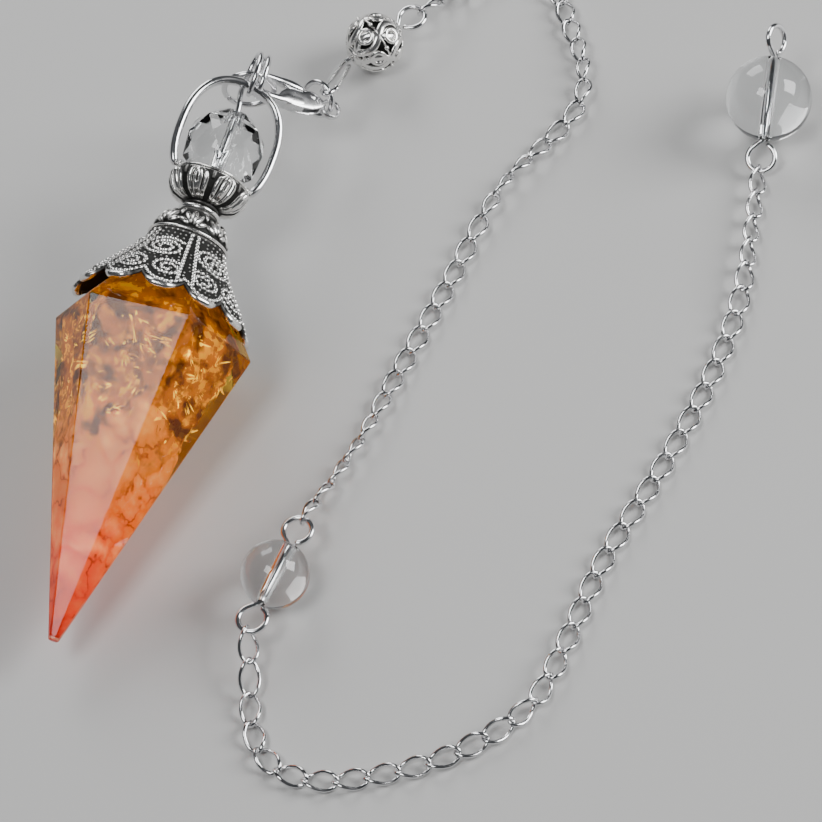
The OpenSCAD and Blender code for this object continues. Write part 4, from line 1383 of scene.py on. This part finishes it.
def add_rings(wire):
    """Bent rings, each with the hairline split where its ends meet."""
    # Node, the two directions of its plane, radius and the angle of the split, in degrees
    rings = (("clasp_ring", heading(radians(18)), UP, 3.0 * MM, 200),
             ("jump_ring", *JUMP_RING, JUMP_RING_RADIUS, 300))
    slit = 0.9
    for node, x, y, radius, split in rings:
        middle = middle_of(node)
        path = []
        for t in shares(72):
            a = radians(split + slit + (360 - 2 * slit) * t)
            path.append(middle + radius * (cos(a) * x + sin(a) * y))
        add_wire(node + "_wire", path, wire.ring, node, side=x.cross(y))


class PENDULUM_OT_clasp(bpy.types.Operator):
    """Add the lobster clasp, its lever and the two rings"""
    bl_idname = "pendulum.clasp"
    bl_label = "Clasp"

    def execute(self, context):
        hinge = frame["joints"][0]
        x = CLASP_WAY
        z = Vector(hinge["axis"]).normalized()
        y = z.cross(x)
        claw = Vector(hinge["pos_m"]) - RIVET.x * x - RIVET.y * y
        place = Matrix.Translation(claw) @ Matrix((x, y, z)).transposed().to_4x4()
        add_clasp_body(place)
        add_clasp_lever(place)
        add_rings(context.scene.pendulum_wire)
        return {"FINISHED"}


# Chain

def loose_links(node):
    """The axes of each loose link of a CAD chain."""
    bm = bmesh.new()
    bm.from_mesh(frame["nodes"][node].data)
    bmesh.ops.remove_doubles(bm, verts=bm.verts, dist=1e-6)
    bm.verts.ensure_lookup_table()
    seen, links = set(), []
    for start in bm.verts:
        if start in seen:
            continue
        group, stack = [], [start]
        seen.add(start)
        while stack:
            v = stack.pop()
            group.append(v.co.copy())
            for edge in v.link_edges:
                other = edge.other_vert(v)
                if other not in seen:
                    seen.add(other)
                    stack.append(other)
        links.append(link_axes(group))
    bm.free()
    return links


def main_direction(points):
    """The direction in which points spread most, by repeated averaging."""
    way = max(points, key=lambda p: p.length).normalized()
    for _ in range(40):
        way = sum(((p.dot(way)) * p for p in points), Vector()).normalized()
    return way


def link_axes(points):
    """Middle, half length, half width, direction and flat side of one link."""
    middle = sum(points, Vector()) / len(points)
    off = [p - middle for p in points]
    x = main_direction(off)
    half = max(p.dot(x) for p in off)
    waist = [square_to(p, x) for p in off if abs(p.dot(x)) < 0.4 * half]
    y = square_to(main_direction(waist), x).normalized()
    width = max(abs(p.dot(y)) for p in waist)
    return middle, half, width, x, y


def add_link(form, wire, middle, half, width, x, y):
    """One link, its two ends turned against each other so that the chain lies flat."""
    z = x.cross(y)
    wire_r = wire.link / 2
    a, b = half - wire_r, width - wire_r
    path = []
    for q in circle(1, 0, 36):
        twist = wire.link_twist * q.x
        path.append(middle + a * q.x * x + b * q.y * (cos(twist) * y + sin(twist) * z))
    normals = [z.cross(t).normalized() for t in directions(path, closed=True)]
    form.tube(path, wire_r, closed=True, normals=normals)


class PENDULUM_OT_chain(bpy.types.Operator):
    """Add the two lengths of twisted curb chain"""
    bl_idname = "pendulum.chain"
    bl_label = "Chain"

    def execute(self, context):
        wire = context.scene.pendulum_wire
        for node in ("upper_chain", "tail_chain"):
            form = Form()
            for middle, half, width, x, y in loose_links(node):
                add_link(form, wire, middle, half, width, x, y)
            make_piece(node + "_links", form, "bright_silver_wire", node)
        return {"FINISHED"}


# Panel and registration

OPERATORS = (PENDULUM_OT_stage, PENDULUM_OT_stone, PENDULUM_OT_cap, PENDULUM_OT_hoop,
             PENDULUM_OT_faceted_bead, PENDULUM_OT_clasp, PENDULUM_OT_filigree_bead,
             PENDULUM_OT_round_beads, PENDULUM_OT_chain)
SETTINGS = {"pendulum_lie": LieSettings, "pendulum_stone": StoneSettings,
            "pendulum_cap": CapSettings, "pendulum_hoop": HoopSettings,
            "pendulum_wire": WireSettings, "pendulum_stage": StageSettings}


class PENDULUM_PT_panel(bpy.types.Panel):
    """Sizes and colours of the pendant, and a button for each piece"""
    bl_label = "Pendulum pendant"
    bl_idname = "PENDULUM_PT_panel"
    bl_space_type = "VIEW_3D"
    bl_region_type = "UI"
    bl_category = "Pendulum"

    def draw(self, context):
        for name, group in SETTINGS.items():
            box = self.layout.box()
            box.label(text=group.__name__.replace("Settings", ""))
            settings = getattr(context.scene, name)
            for key in group.__annotations__:
                box.prop(settings, key)
        for operator in OPERATORS:
            self.layout.operator(operator.bl_idname)


def register():
    for name, group in SETTINGS.items():
        bpy.utils.register_class(group)
        setattr(bpy.types.Scene, name, PointerProperty(type=group))
    for operator in OPERATORS:
        bpy.utils.register_class(operator)
    bpy.utils.register_class(PENDULUM_PT_panel)


def unregister():
    bpy.utils.unregister_class(PENDULUM_PT_panel)
    for operator in reversed(OPERATORS):
        bpy.utils.unregister_class(operator)
    for name, group in reversed(SETTINGS.items()):
        delattr(bpy.types.Scene, name)
        bpy.utils.unregister_class(group)


def main():
    register()
    bpy.ops.pendulum.stage()
    bpy.ops.pendulum.stone()
    bpy.ops.pendulum.cap()
    bpy.ops.pendulum.hoop()
    bpy.ops.pendulum.faceted_bead()
    bpy.ops.pendulum.clasp()
    bpy.ops.pendulum.filigree_bead()
    bpy.ops.pendulum.round_beads()
    bpy.ops.pendulum.chain()


if __name__ == "__main__":
    main()
